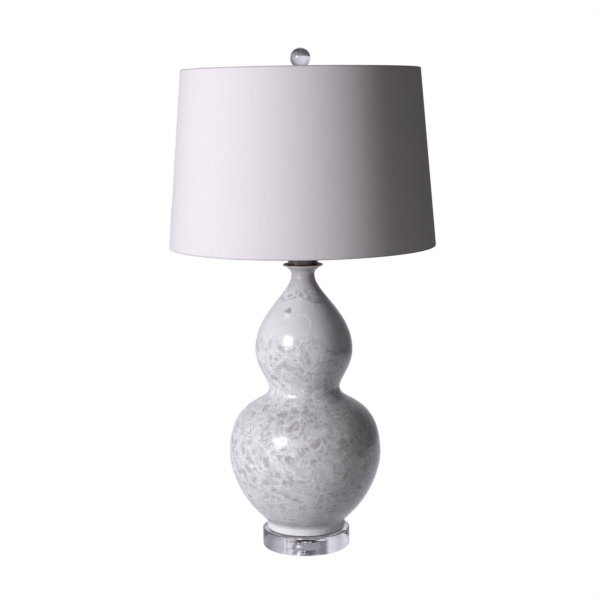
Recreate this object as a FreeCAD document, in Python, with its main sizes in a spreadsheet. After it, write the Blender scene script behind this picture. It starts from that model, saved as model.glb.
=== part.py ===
import FreeCAD, Part
import math
import os
import Sketcher

# Double gourd table lamp: a glazed ceramic double gourd on a clear round base,
# with a threaded lamp pipe, a turn-knob socket, a harp and a drum shade.
# Millimetres, +Z up, origin at the middle of the base's underside.
# The front of the lamp is -Y and the cord hole is at the back, +Y.

Vector = FreeCAD.Vector
Rotation = FreeCAD.Rotation
Placement = FreeCAD.Placement
Constraint = Sketcher.Constraint

document = FreeCAD.newDocument("double_gourd_lamp")

# ---------------------------------------------------------------- driving sizes

SIZES = {
    # clear round base and the pipe's fastening under it
    "base_radius": 68.0,
    "base_height": 28.0,
    "base_edge_round": 2.0,
    "recess_radius": 23.5,
    "recess_depth": 11.0,
    "base_washer_radius": 15.0,
    "base_washer_thickness": 1.5,
    "lock_washer_radius": 9.0,
    "lock_washer_thickness": 1.6,
    "base_nut_flats": 14.3,
    "base_nut_thickness": 4.5,
    # lamp pipe
    "pipe_radius": 5.0,
    "pipe_wall": 1.4,
    "pipe_end_height": 2.5,
    "pipe_grip": 7.0,
    "pipe_hole_clearance": 0.3,
    "thread_clearance": 0.06,
    "wire_port_radius": 2.5,
    "wire_port_height": 62.0,
    # gasket between base and gourd
    "gasket_radius": 59.5,
    "gasket_thickness": 2.0,
    "gasket_width": 9.5,
    # gourd: radii and heights above its own foot
    "foot_radius": 60.5,
    "foot_band_height": 8.8,
    "foot_ring_width": 10.0,
    "foot_hollow_height": 7.0,
    "floor_thickness": 7.0,
    "floor_hole_clearance": 1.0,
    "flank_low_radius": 65.6,
    "flank_low_height": 16.0,
    "flank_high_radius": 77.2,
    "flank_high_height": 28.0,
    "belly_radius": 117.5,
    "belly_height": 118.0,
    "waist_radius": 54.7,
    "waist_height": 222.0,
    "upper_bulb_radius": 75.1,
    "upper_bulb_height": 280.7,
    "neck_radius": 17.7,
    "neck_height": 396.4,
    "lip_radius": 25.2,
    "lip_edge": 1.2,
    "lip_rise": 12.8,
    "gourd_wall": 5.0,
    # lengths of the curve handles that shape the gourd between those places
    "foot_pull": 2.0,
    "flank_pull": 38.8,
    "belly_low_pull": 23.1,
    "belly_high_pull": 90.0,
    "waist_low_pull": 29.7,
    "waist_high_pull": 12.2,
    "upper_bulb_low_pull": 26.6,
    "upper_bulb_high_pull": 56.4,
    "neck_low_pull": 27.0,
    "neck_high_pull": 7.0,
    "lip_flare": 3.6,
    "lip_pull": 2.7,
    # cord bushing in the back of the gourd's flank
    "cord_bore_radius": 3.3,
    "bushing_wall": 1.1,
    "bushing_flange_radius": 6.5,
    "bushing_flange_thickness": 1.6,
    "bushing_tail": 2.5,
    "bushing_bead": 0.1,
    "bushing_clearance": 0.2,
    "bushing_seat_gap": 0.05,
    # metal parts on the gourd's lip
    "neck_gasket_radius": 24.0,
    "neck_gasket_width": 9.5,
    "neck_gasket_thickness": 1.0,
    "cap_radius": 30.7,
    "cap_thickness": 1.4,
    "cap_rim_height": 2.8,
    "cap_rim_width": 2.6,
    "cap_rim_round": 1.1,
    "collar_radius": 23.0,
    "collar_height": 13.2,
    "collar_wall": 1.5,
    "collar_round": 2.0,
    "collar_nut_flats": 17.5,
    "collar_nut_thickness": 4.0,
    # harp saddle and its sleeves
    "saddle_thickness": 2.4,
    "saddle_width": 9.0,
    "saddle_eye_radius": 10.0,
    "saddle_height": 15.4,
    "saddle_bend": 3.0,
    "post_lap": 10.0,
    "post_weld": 4.0,
    "lap_clearance": 0.1,
    "sleeve_clearance": 0.25,
    "sleeve_wall": 1.3,
    "sleeve_length": 12.0,
    # harp
    "harp_wire_radius": 2.1,
    "harp_foot_half_gap": 28.5,
    "harp_leg_height": 26.0,
    "harp_half_width": 57.0,
    "harp_widest_height": 132.0,
    "harp_height": 245.7,
    "harp_knee_radius": 60.0,
    "harp_shoulder_radius": 14.0,
    "harp_top_half_length": 11.0,
    "clip_half_length": 9.0,
    "clip_wall": 1.2,
    "clip_clearance": 0.15,
    "stud_flange_radius": 9.0,
    "stud_flange_thickness": 2.0,
    "stud_radius": 3.1,
    "stud_length": 12.0,
    # socket
    "cap_boss_radius": 7.2,
    "cap_boss_height": 6.0,
    "socket_cap_radius": 18.9,
    "socket_cap_height": 20.0,
    "socket_cap_curve": 8.5,
    "socket_cap_wall": 0.9,
    "set_screw_radius": 1.5,
    "set_screw_head_radius": 2.4,
    "set_screw_head_length": 1.8,
    "shell_clearance": 0.2,
    "shell_wall": 0.7,
    "shell_lap": 5.5,
    "shell_height": 44.5,
    "shell_bead_height": 0.7,
    "shell_bead_width": 2.4,
    "shell_bead_place": 24.0,
    "knob_slot_width": 9.0,
    "liner_clearance": 0.15,
    "liner_wall": 0.8,
    "liner_inset": 1.2,
    "switch_body_clearance": 0.3,
    "switch_body_height": 19.5,
    "switch_body_flat": 12.4,
    "switch_flat_height": 16.5,
    "terminal_screw_radius": 1.6,
    "terminal_head_radius": 3.0,
    "terminal_head_thickness": 1.6,
    "terminal_screw_length": 5.0,
    "terminal_screw_room": 1.0,
    "terminal_screw_height": 12.0,
    "screw_shell_radius": 13.3,
    "screw_shell_wall": 0.7,
    "screw_shell_height": 22.0,
    "screw_shell_flange": 14.9,
    "contact_height": 2.0,
    "contact_half_length": 6.0,
    "contact_sheet": 0.5,
    "contact_width": 4.0,
    "knob_shaft_radius": 2.4,
    "knob_shaft_height": 10.5,
    "knob_shaft_depth": 9.5,
    "knob_gap": 2.0,
    "knob_radius": 5.0,
    "knob_length": 21.0,
    "knob_round": 1.2,
    "knob_shaft_grip": 15.0,
    # light bulb
    "contact_gap": 0.3,
    "tip_radius": 3.4,
    "tip_height": 1.2,
    "insulator_radius": 9.4,
    "insulator_height": 3.0,
    "insulator_step": 1.0,
    "bulb_base_radius": 12.9,
    "bulb_base_wall": 0.5,
    "bulb_base_height": 22.0,
    "bulb_radius": 30.0,
    "bulb_length": 109.0,
    "bulb_wall": 1.0,
    "bulb_neck_start": 17.6,
    "bulb_neck_straight": 5.5,
    "bulb_neck_gap": 0.05,
    "bulb_neck_pull": 20.0,
    "bulb_side_pull": 16.0,
    # shade
    "shade_bottom_radius": 203.2,
    "shade_top_radius": 180.3,
    "shade_height": 267.0,
    "fabric_thickness": 0.8,
    "liner_thickness": 0.6,
    "shade_layer_gap": 0.05,
    "ring_wire_radius": 1.5,
    "hem_depth": 9.0,
    "hem_notch_width": 5.0,
    "spider_recess": 12.5,
    "spider_wire_radius": 1.8,
    "spider_ramp_length": 26.0,
    "spider_end_gap": 0.6,
    "spider_end_drop": 0.6,
    "spider_weld": 2.8,
    "spider_hub_radius": 14.0,
    "spider_hub_thickness": 1.6,
    "spider_hole_clearance": 0.3,
    # finial
    "finial_stem_radius": 5.0,
    "finial_stem_height": 8.0,
    "finial_cup_radius": 7.5,
    "finial_foot_radius": 6.8,
    "finial_foot_height": 2.2,
    "finial_seat_height": 11.5,
    "finial_seat_gap": 0.05,
    "finial_edge": 1.0,
    "finial_thread_runout": 1.0,
    "finial_ball_radius": 15.3,
    "finial_bore_clearance": 0.12,
}
SPIDER_ARMS = 3
# A curve that turns a square corner round has handles of about this share of the corner.
ROUND_HANDLE = 0.6
# A curve one wall further in has handles that differ by this share of the wall.
WALL_HANDLE = 0.55

sheet = document.addObject("Spreadsheet::Sheet", "Sizes")
for row, (alias, number) in enumerate(SIZES.items(), 1):
    sheet.set(f"A{row}", alias)
    sheet.set(f"B{row}", str(number))
    sheet.setAlias(f"B{row}", alias)
document.recompute()


class Size:
    """A length with its value now and the expression that binds it to the sheet."""

    def __init__(self, value, text):
        self.value = float(value)
        self.text = text

    def __add__(self, other):
        other = as_size(other)
        return Size(self.value + other.value, f"({self.text} + {other.text})")

    def __sub__(self, other):
        other = as_size(other)
        return Size(self.value - other.value, f"({self.text} - {other.text})")

    def __mul__(self, other):
        other = as_size(other)
        return Size(self.value * other.value, f"({self.text} * {other.text})")

    def __truediv__(self, other):
        other = as_size(other)
        return Size(self.value / other.value, f"({self.text} / {other.text})")

    def __neg__(self):
        return Size(-self.value, f"(0 - {self.text})")

    def root(self):
        return Size(math.sqrt(self.value), f"sqrt({self.text})")


def as_size(value):
    if isinstance(value, Size):
        return value
    return Size(value, f"({float(value)!r})")


class SheetSizes:
    """Gives each size of the sheet by its name."""

    def __getattr__(self, alias):
        return Size(float(sheet.get(alias)), f"Sizes.{alias}")


size = SheetSizes()
NOTHING = as_size(0.0)

# ---------------------------------------------------------------- drawing helpers

parts = []


def new_part(label):
    body = document.addObject("PartDesign::Body", label)
    body.Label = label
    parts.append(body)
    return body


def origin_feature(body, role):
    return [feature for feature in body.Origin.OriginFeatures if feature.Role == role][0]


def new_sketch(body, role, name):
    sketch = body.newObject("Sketcher::SketchObject", name)
    sketch.AttachmentSupport = [(origin_feature(body, role), "")]
    sketch.MapMode = "FlatFace"
    return sketch


def bind(sketch, constraint, value):
    number = sketch.addConstraint(constraint)
    sketch.setExpression(f"Constraints[{number}]", value.text)


def pin_across(sketch, geometry, end, across):
    across = as_size(across)
    if across.value == 0.0:
        sketch.addConstraint(Constraint("PointOnObject", geometry, end, -2))
    else:
        bind(sketch, Constraint("DistanceX", -1, 1, geometry, end, across.value), across)


def pin_up(sketch, geometry, end, up):
    up = as_size(up)
    if up.value == 0.0:
        sketch.addConstraint(Constraint("PointOnObject", geometry, end, -1))
    else:
        bind(sketch, Constraint("DistanceY", -1, 1, geometry, end, up.value), up)


def pin(sketch, geometry, end, point):
    pin_across(sketch, geometry, end, point[0])
    pin_up(sketch, geometry, end, point[1])


def flat(point):
    return Vector(as_size(point[0]).value, as_size(point[1]).value, 0)


class Bend:
    """The next stretch of an outline is a cubic curve with these two handle points."""

    def __init__(self, first, second):
        self.handles = (first, second)


class Round:
    """The next stretch of an outline is an arc, anticlockwise about this middle."""

    def __init__(self, middle):
        self.middle = middle


class RoundBack(Round):
    """The next stretch of an outline is an arc, clockwise about this middle."""


def add_bend(sketch, start, bend, end):
    curve = Part.BSplineCurve()
    poles = [start, bend.handles[0], bend.handles[1], end]
    curve.buildFromPolesMultsKnots([flat(pole) for pole in poles], [4, 4], [0, 1], False, 3)
    geometry = sketch.addGeometry(curve, False)
    sketch.exposeInternalGeometry(geometry)
    for number, pole in enumerate(poles, 1):
        pin(sketch, geometry + number, 3, pole)
    return geometry


def add_round(sketch, start, middle, end):
    first = flat(start) - flat(middle)
    last = flat(end) - flat(middle)
    start_angle = math.atan2(first.y, first.x)
    end_angle = math.atan2(last.y, last.x)
    if end_angle <= start_angle:
        end_angle += 2 * math.pi
    circle = Part.Circle(flat(middle), Vector(0, 0, 1), first.Length)
    geometry = sketch.addGeometry(Part.ArcOfCircle(circle, start_angle, end_angle), False)
    pin(sketch, geometry, 1, start)
    pin(sketch, geometry, 2, end)
    chord = flat(end) - flat(start)
    if abs(chord.y) >= abs(chord.x):
        pin_across(sketch, geometry, 3, middle[0])
    else:
        pin_up(sketch, geometry, 3, middle[1])
    return geometry


def add_line(sketch, start, end):
    return sketch.addGeometry(Part.LineSegment(flat(start), flat(end)), False)


def draw(sketch, outline):
    """Draws a closed outline whose corners are all bound to the sheet."""
    corners = [entry for entry in outline if isinstance(entry, tuple)]
    stretches = []
    for number, entry in enumerate(outline):
        if not isinstance(entry, tuple):
            continue
        following = outline[(number + 1) % len(outline)]
        stretches.append(following if not isinstance(following, tuple) else None)
    drawn = []
    for number, stretch in enumerate(stretches):
        start = corners[number]
        end = corners[(number + 1) % len(corners)]
        if isinstance(stretch, Bend):
            drawn.append((add_bend(sketch, start, stretch, end), 1, 2))
        elif isinstance(stretch, RoundBack):
            drawn.append((add_round(sketch, end, stretch.middle, start), 2, 1))
        elif isinstance(stretch, Round):
            drawn.append((add_round(sketch, start, stretch.middle, end), 1, 2))
        else:
            drawn.append((add_line(sketch, start, end), 1, 2))
    for number, (geometry, start_end, _) in enumerate(drawn):
        before, _, before_end = drawn[number - 1]
        straight = [stretches[number] is None, stretches[number - 1] is None]
        if any(straight):
            joint = Constraint("Coincident", before, before_end, geometry, start_end)
            sketch.addConstraint(joint)
        if all(straight):
            pin(sketch, geometry, start_end, corners[number])


def revolve(body, outline, angle=360):
    sketch = new_sketch(body, "XZ_Plane", "profile")
    draw(sketch, outline)
    turned = body.newObject("PartDesign::Revolution", "turned")
    turned.Profile = sketch
    turned.ReferenceAxis = (sketch, ["V_Axis"])
    turned.Angle = angle
    return turned


def turned_part(label, outline, height=NOTHING, angle=360):
    """A part turned about the lamp's upright axis, with its own zero at a height."""
    body = new_part(label)
    revolve(body, outline, angle)
    raise_to(body, height)
    return body


def raise_to(body, height):
    height = as_size(height)
    body.Placement = Placement(Vector(0, 0, height.value), body.Placement.Rotation)
    body.setExpression("Placement.Base.z", height.text)


def place(thing, point, axis=Vector(0, 0, 1), angle=None):
    """Puts a part or a feature at a bound point, turned about an axis by degrees."""
    point = [as_size(value) for value in point]
    degrees = as_size(0.0 if angle is None else angle)
    base = Vector(*[value.value for value in point])
    thing.Placement = Placement(base, Rotation(axis, degrees.value))
    for letter, value in zip("xyz", point):
        thing.setExpression(f"Placement.Base.{letter}", value.text)
    if isinstance(angle, Size):
        thing.setExpression("Placement.Rotation.Angle", angle.text)


def tube_outline(inner, outer, height):
    return [(inner, NOTHING), (outer, NOTHING), (outer, height), (inner, height)]


def pad(body, outline, length, role="XZ_Plane", middle=True, hole=None):
    """A flat outline given a thickness, on both sides of its plane or on one."""
    sketch = new_sketch(body, role, "outline")
    draw(sketch, outline)
    if hole is not None:
        geometry = sketch.addGeometry(Part.Circle(Vector(0, 0, 0), Vector(0, 0, 1), hole.value), False)
        pin(sketch, geometry, 3, (NOTHING, NOTHING))
        bind(sketch, Constraint("Radius", geometry, hole.value), hole)
    block = body.newObject("PartDesign::Pad", "block")
    block.Profile = sketch
    block.Length = length.value
    block.setExpression("Length", length.text)
    if middle:
        block.SideType = "Symmetric"
    return block


def drum(body, kind, name, radius, height, point, axis=Vector(0, 0, 1), angle=None):
    """A round boss (Additive) or a round hole (Subtractive)."""
    feature = body.newObject(f"PartDesign::{kind}Cylinder", name)
    feature.setExpression("Radius", radius.text)
    feature.setExpression("Height", height.text)
    place(feature, point, axis, angle)
    return feature


def cut_box(body, name, length, width, height, point):
    feature = body.newObject("PartDesign::SubtractiveBox", name)
    for side, value in (("Length", length), ("Width", width), ("Height", height)):
        feature.setExpression(side, as_size(value).text)
    place(feature, point)
    return feature


def mirror(body, features, role="YZ_Plane"):
    document.recompute()
    mirrored = body.newObject("PartDesign::Mirrored", "mirrored")
    mirrored.Originals = features
    mirrored.MirrorPlane = (origin_feature(body, role), [""])
    body.Tip = mirrored
    return mirrored


def repeat_round(body, features, count):
    document.recompute()
    pattern = body.newObject("PartDesign::PolarPattern", "pattern")
    pattern.Originals = features
    pattern.Axis = (origin_feature(body, "Z_Axis"), [""])
    pattern.Angle = 360
    pattern.Occurrences = count
    body.Tip = pattern
    return pattern


def round_rings(body, radius, rings):
    """Rounds the circular edges found at the given (radius, height) places."""
    document.recompute()
    solid = body.Tip
    names = []
    for number, edge in enumerate(solid.Shape.Edges, 1):
        if not isinstance(edge.Curve, Part.Circle):
            continue
        middle = edge.Curve.Center
        if abs(middle.x) > 0.01 or abs(middle.y) > 0.01:
            continue
        for ring_radius, ring_height in rings:
            same_radius = abs(edge.Curve.Radius - as_size(ring_radius).value) < 0.01
            if same_radius and abs(middle.z - as_size(ring_height).value) < 0.01:
                names.append(f"Edge{number}")
    if len(names) < len(rings):
        raise ValueError(f"{body.Label}: an edge to round is missing")
    fillet = body.newObject("PartDesign::Fillet", "rounded")
    fillet.Base = (solid, names)
    fillet.Radius = radius.value
    fillet.setExpression("Radius", radius.text)
    return fillet


def hexagon(flats):
    """The six corners of a nut, worked out from its width across the flats."""
    reach = flats / math.sqrt(3)
    corners = []
    for number in range(6):
        turn = math.radians(60 * number)
        corners.append((reach * round(math.cos(turn), 9), reach * round(math.sin(turn), 9)))
    return corners


def nut(label, flats, thickness, bore, height):
    body = new_part(label)
    pad(body, hexagon(flats), thickness, "XY_Plane", middle=False, hole=bore)
    raise_to(body, height)
    return body


# ---------------------------------------------------------------- heights of the stack

pipe_hole = size.pipe_radius + size.pipe_hole_clearance
thread_bore = size.pipe_radius + size.thread_clearance
gourd_bottom = size.base_height + size.gasket_thickness
lip_top = size.neck_height + size.lip_rise
gourd_top = gourd_bottom + lip_top
cap_bottom = gourd_top + size.neck_gasket_thickness
collar_bottom = cap_bottom + size.cap_thickness
collar_nut_bottom = collar_bottom + size.collar_height
saddle_bottom = collar_nut_bottom + size.collar_nut_thickness
socket_bottom = saddle_bottom + size.saddle_thickness
shoulder_top = saddle_bottom + size.saddle_height
pipe_top = socket_bottom + size.pipe_grip

# ---------------------------------------------------------------- clear base and its fastening


def make_base():
    body = turned_part("acrylic_base", [
        (pipe_hole, size.recess_depth),
        (size.recess_radius, size.recess_depth),
        (size.recess_radius, NOTHING),
        (size.base_radius, NOTHING),
        (size.base_radius, size.base_height),
        (pipe_hole, size.base_height),
    ])
    rims = [(size.base_radius, NOTHING), (size.base_radius, size.base_height)]
    round_rings(body, size.base_edge_round, rims)


def make_base_fastening():
    washer_bottom = size.recess_depth - size.base_washer_thickness
    washer = tube_outline(pipe_hole, size.base_washer_radius, size.base_washer_thickness)
    turned_part("base_washer", washer, washer_bottom)
    lock_bottom = washer_bottom - size.lock_washer_thickness
    lock_washer = tube_outline(pipe_hole, size.lock_washer_radius, size.lock_washer_thickness)
    turned_part("base_lock_washer", lock_washer, lock_bottom, angle=346)
    nut_bottom = lock_bottom - size.base_nut_thickness
    nut("base_hex_nut", size.base_nut_flats, size.base_nut_thickness, thread_bore, nut_bottom)


def make_pipe():
    length = pipe_top - size.pipe_end_height
    outline = tube_outline(size.pipe_radius - size.pipe_wall, size.pipe_radius, length)
    body = turned_part("lamp_pipe", outline, size.pipe_end_height)
    port_height = size.wire_port_height - size.pipe_end_height
    drum(body, "Subtractive", "wire_port", size.wire_port_radius, size.pipe_radius * 2,
         (NOTHING, NOTHING, port_height), Vector(-1, 0, 0), 90)


def make_foot_gasket():
    inner = size.gasket_radius - size.gasket_width
    outline = tube_outline(inner, size.gasket_radius, size.gasket_thickness)
    turned_part("foot_gasket", outline, size.base_height)


# ---------------------------------------------------------------- ceramic gourd

# The flank is a straight cone where the cord bushing seats, so that its flange lies flat.
flank_run = size.flank_high_radius - size.flank_low_radius
flank_rise = size.flank_high_height - size.flank_low_height
flank_length = (flank_run * flank_run + flank_rise * flank_rise).root()
flank_across = flank_run / flank_length
flank_up = flank_rise / flank_length
flank_middle = ((size.flank_low_radius + size.flank_high_radius) / 2,
                (size.flank_low_height + size.flank_high_height) / 2)
flank_tilt = Size(180 - math.degrees(math.atan2(flank_rise.value, flank_run.value)),
                  f"180 deg - atan({flank_rise.text} / {flank_run.text})")


def along_flank(point, distance):
    return (point[0] + flank_across * distance, point[1] + flank_up * distance)


def inside_flank(point):
    return (point[0] - flank_up * size.gourd_wall, point[1] + flank_across * size.gourd_wall)


def beside(radius, height, pull):
    """A handle straight above or below a place where the outline runs upright."""
    return (radius, height + pull)


def gourd_outline():
    wall = size.gourd_wall
    ease = wall * WALL_HANDLE
    low = (size.flank_low_radius, size.flank_low_height)
    high = (size.flank_high_radius, size.flank_high_height)
    band_top = (size.foot_radius, size.foot_band_height)
    hole = size.pipe_radius + size.floor_hole_clearance
    floor_top = size.foot_hollow_height + size.floor_thickness
    ring_inside = size.foot_radius - size.foot_ring_width
    lip_side = lip_top - size.lip_edge
    outside = [
        (ring_inside, NOTHING),
        (size.foot_radius, NOTHING),
        band_top,
        Bend(beside(*band_top, size.foot_pull), along_flank(low, -size.foot_pull)),
        low,
        high,
        Bend(along_flank(high, size.flank_pull),
             beside(size.belly_radius, size.belly_height, -size.belly_low_pull)),
        (size.belly_radius, size.belly_height),
        Bend(beside(size.belly_radius, size.belly_height, size.belly_high_pull),
             beside(size.waist_radius, size.waist_height, -size.waist_low_pull)),
        (size.waist_radius, size.waist_height),
        Bend(beside(size.waist_radius, size.waist_height, size.waist_high_pull),
             beside(size.upper_bulb_radius, size.upper_bulb_height, -size.upper_bulb_low_pull)),
        (size.upper_bulb_radius, size.upper_bulb_height),
        Bend(beside(size.upper_bulb_radius, size.upper_bulb_height, size.upper_bulb_high_pull),
             beside(size.neck_radius, size.neck_height, -size.neck_low_pull)),
        (size.neck_radius, size.neck_height),
        Bend(beside(size.neck_radius, size.neck_height, size.neck_high_pull),
             (size.lip_radius - size.lip_flare, lip_side - size.lip_pull)),
        (size.lip_radius, lip_side),
        (size.lip_radius, lip_top),
    ]
    inner_low = inside_flank(low)
    inner_high = inside_flank(high)
    neck_inside = size.neck_radius - wall
    bulb_inside = size.upper_bulb_radius - wall
    waist_inside = size.waist_radius - wall
    belly_inside = size.belly_radius - wall
    inside = [
        (neck_inside, lip_top),
        (neck_inside, size.neck_height),
        Bend(beside(neck_inside, size.neck_height, -size.neck_low_pull - ease),
             beside(bulb_inside, size.upper_bulb_height, size.upper_bulb_high_pull - ease)),
        (bulb_inside, size.upper_bulb_height),
        Bend(beside(bulb_inside, size.upper_bulb_height, ease - size.upper_bulb_low_pull),
             beside(waist_inside, size.waist_height, size.waist_high_pull + ease)),
        (waist_inside, size.waist_height),
        Bend(beside(waist_inside, size.waist_height, -size.waist_low_pull - ease),
             beside(belly_inside, size.belly_height, size.belly_high_pull - ease)),
        (belly_inside, size.belly_height),
        Bend(beside(belly_inside, size.belly_height, ease - size.belly_low_pull),
             along_flank(inner_high, size.flank_pull - ease)),
        inner_high,
        inner_low,
        (inner_low[0] - wall, floor_top),
        (hole, floor_top),
        (hole, size.foot_hollow_height),
        (ring_inside, size.foot_hollow_height),
    ]
    return outside + inside


bushing_radius = size.cord_bore_radius + size.bushing_wall
bushing_hole_radius = bushing_radius + size.bushing_clearance
bushing_reach = size.gourd_wall + size.bushing_tail


def make_gourd():
    body = turned_part("gourd_body", gourd_outline(), gourd_bottom)
    # The hole's axis stands square on the flank; it starts outside and runs inwards.
    radius, height = flank_middle
    outer = (NOTHING, radius + flank_up * bushing_reach, height - flank_across * bushing_reach)
    inward = Size(180 - flank_tilt.value, f"180 deg - ({flank_tilt.text})")
    drum(body, "Subtractive", "cord_hole", bushing_hole_radius, bushing_reach * 2, outer,
         Vector(1, 0, 0), inward)


def make_bushing():
    """Snap bushing that lines the cord hole: a flange outside, a barrel and a small tail bead."""
    face = size.bushing_flange_thickness
    half_tail = size.bushing_tail / 2
    body = new_part("cord_bushing")
    revolve(body, [
        (size.cord_bore_radius, -bushing_reach),
        (bushing_radius, -bushing_reach),
        (bushing_radius + size.bushing_bead, half_tail - bushing_reach),
        (bushing_radius, size.bushing_tail - bushing_reach),
        (bushing_radius, NOTHING),
        (size.bushing_flange_radius, NOTHING),
        (size.bushing_flange_radius, face / 2),
        (size.bushing_flange_radius - face / 2, face),
        (size.cord_bore_radius, face),
    ])
    radius, height = flank_middle
    lift = size.bushing_seat_gap
    point = (NOTHING, radius + flank_up * lift, gourd_bottom + height - flank_across * lift)
    place(body, point, Vector(-1, 0, 0), flank_tilt)


# ---------------------------------------------------------------- metal parts on the lip


def make_neck_metal():
    inner = size.neck_gasket_radius - size.neck_gasket_width
    gasket = tube_outline(inner, size.neck_gasket_radius, size.neck_gasket_thickness)
    turned_part("neck_gasket", gasket, gourd_top)

    rim_inside = size.cap_radius - size.cap_rim_width
    cap = turned_part("vase_cap", [
        (pipe_hole, NOTHING),
        (size.cap_radius, NOTHING),
        (size.cap_radius, size.cap_rim_height),
        (rim_inside, size.cap_rim_height),
        (rim_inside, size.cap_thickness),
        (pipe_hole, size.cap_thickness),
    ], cap_bottom)
    rims = [(size.cap_radius, NOTHING), (size.cap_radius, size.cap_rim_height),
            (rim_inside, size.cap_rim_height)]
    round_rings(cap, size.cap_rim_round, rims)

    drum_inside = size.collar_radius - size.collar_wall
    collar = turned_part("cap_collar", [
        (drum_inside, NOTHING),
        (size.collar_radius, NOTHING),
        (size.collar_radius, size.collar_height),
        (pipe_hole, size.collar_height),
        (pipe_hole, size.collar_height - size.collar_wall),
        (drum_inside, size.collar_height - size.collar_wall),
    ], collar_bottom)
    round_rings(collar, size.collar_round, [(size.collar_radius, size.collar_height)])

    nut("collar_nut", size.collar_nut_flats, size.collar_nut_thickness, thread_bore, collar_nut_bottom)


# ---------------------------------------------------------------- harp saddle, harp and sleeves

leg_bottom = shoulder_top + size.lap_clearance
lap_height = size.post_lap


def make_saddle():
    """A bent strap under the socket whose two ends carry half-round posts for the harp."""
    body = new_part("harp_saddle")
    outer = size.harp_foot_half_gap + size.saddle_thickness / 2
    inner = size.harp_foot_half_gap - size.saddle_thickness / 2
    outside_bend = size.saddle_bend + size.saddle_thickness
    pad(body, [
        (-outer, size.saddle_height),
        (-outer, outside_bend),
        Round((outside_bend - outer, outside_bend)),
        (outside_bend - outer, NOTHING),
        (outer - outside_bend, NOTHING),
        Round((outer - outside_bend, outside_bend)),
        (outer, outside_bend),
        (outer, size.saddle_height),
        (inner, size.saddle_height),
        (inner, outside_bend),
        RoundBack((inner - size.saddle_bend, outside_bend)),
        (inner - size.saddle_bend, size.saddle_thickness),
        (size.saddle_bend - inner, size.saddle_thickness),
        RoundBack((size.saddle_bend - inner, outside_bend)),
        (-inner, outside_bend),
        (-inner, size.saddle_height),
    ], size.saddle_width)
    drum(body, "Additive", "eye", size.saddle_eye_radius, size.saddle_thickness,
         (NOTHING, NOTHING, NOTHING))
    post_height = size.post_lap + size.post_weld
    post_bottom = size.saddle_height - size.post_weld
    for across, turn in ((size.harp_foot_half_gap, 90), (-size.harp_foot_half_gap, -90)):
        post = drum(body, "Additive", "post", size.harp_wire_radius, post_height,
                    (across, NOTHING, post_bottom), Vector(0, 0, 1), turn)
        post.Angle = 180
    drum(body, "Subtractive", "pipe_hole", pipe_hole, size.saddle_thickness * 2,
         (NOTHING, NOTHING, -size.saddle_thickness / 2))
    raise_to(body, saddle_bottom)


def harp_path(body):
    """Half of the harp's wire: leg, knee, long side in two arcs, shoulder and half the top."""
    sketch = new_sketch(body, "XZ_Plane", "path")
    foot = size.harp_foot_half_gap.value
    leg = size.harp_leg_height.value
    wide = size.harp_half_width.value
    wide_at = size.harp_widest_height.value
    knee = size.harp_knee_radius.value
    shoulder = size.harp_shoulder_radius.value
    top = size.harp_height.value
    half_top = size.harp_top_half_length.value
    # The knee turns outwards as far as the lower side turns back.
    swing = 2 * math.atan((wide - foot) / (wide_at - leg))
    lower = (wide_at - leg) / math.sin(swing) - knee
    # The upper side's turn is where the shoulder's arc meets it and ends level at the top.
    low, high = 0.2, 1.4
    for _ in range(60):
        lean = (low + high) / 2
        upper = (wide - half_top - shoulder * math.cos(lean)) / (1 - math.cos(lean))
        reach = upper * math.sin(lean) + shoulder * (1 - math.sin(lean))
        if reach > top - wide_at:
            low = lean
        else:
            high = lean

    def arc(across, up, radius, start, end):
        circle = Part.Circle(Vector(across, up, 0), Vector(0, 0, 1), radius)
        return sketch.addGeometry(Part.ArcOfCircle(circle, start, end), False)

    leg_line = sketch.addGeometry(Part.LineSegment(Vector(foot, 0, 0), Vector(foot, leg, 0)), False)
    knee_arc = arc(foot + knee, leg, knee, math.pi - swing, math.pi)
    lower_arc = arc(wide - lower, wide_at, lower, -swing, 0)
    upper_arc = arc(wide - upper, wide_at, upper, 0, lean)
    shoulder_arc = arc(half_top, top - shoulder, shoulder, lean, math.pi / 2)
    top_line = sketch.addGeometry(Part.LineSegment(Vector(half_top, top, 0), Vector(0, top, 0)), False)
    pin(sketch, leg_line, 1, (size.harp_foot_half_gap, NOTHING))
    pin(sketch, leg_line, 2, (size.harp_foot_half_gap, size.harp_leg_height))
    sketch.addConstraint(Constraint("Tangent", leg_line, 2, knee_arc, 2))
    sketch.addConstraint(Constraint("Tangent", knee_arc, 1, lower_arc, 1))
    bind(sketch, Constraint("Radius", knee_arc, knee), size.harp_knee_radius)
    pin(sketch, lower_arc, 2, (size.harp_half_width, size.harp_widest_height))
    pin_up(sketch, lower_arc, 3, size.harp_widest_height)
    sketch.addConstraint(Constraint("Tangent", lower_arc, 2, upper_arc, 1))
    sketch.addConstraint(Constraint("Tangent", upper_arc, 2, shoulder_arc, 1))
    bind(sketch, Constraint("Radius", shoulder_arc, shoulder), size.harp_shoulder_radius)
    pin_across(sketch, shoulder_arc, 3, size.harp_top_half_length)
    sketch.addConstraint(Constraint("Tangent", shoulder_arc, 2, top_line, 1))
    sketch.addConstraint(Constraint("Horizontal", top_line))
    pin(sketch, top_line, 2, (NOTHING, size.harp_height))
    return sketch


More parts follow.
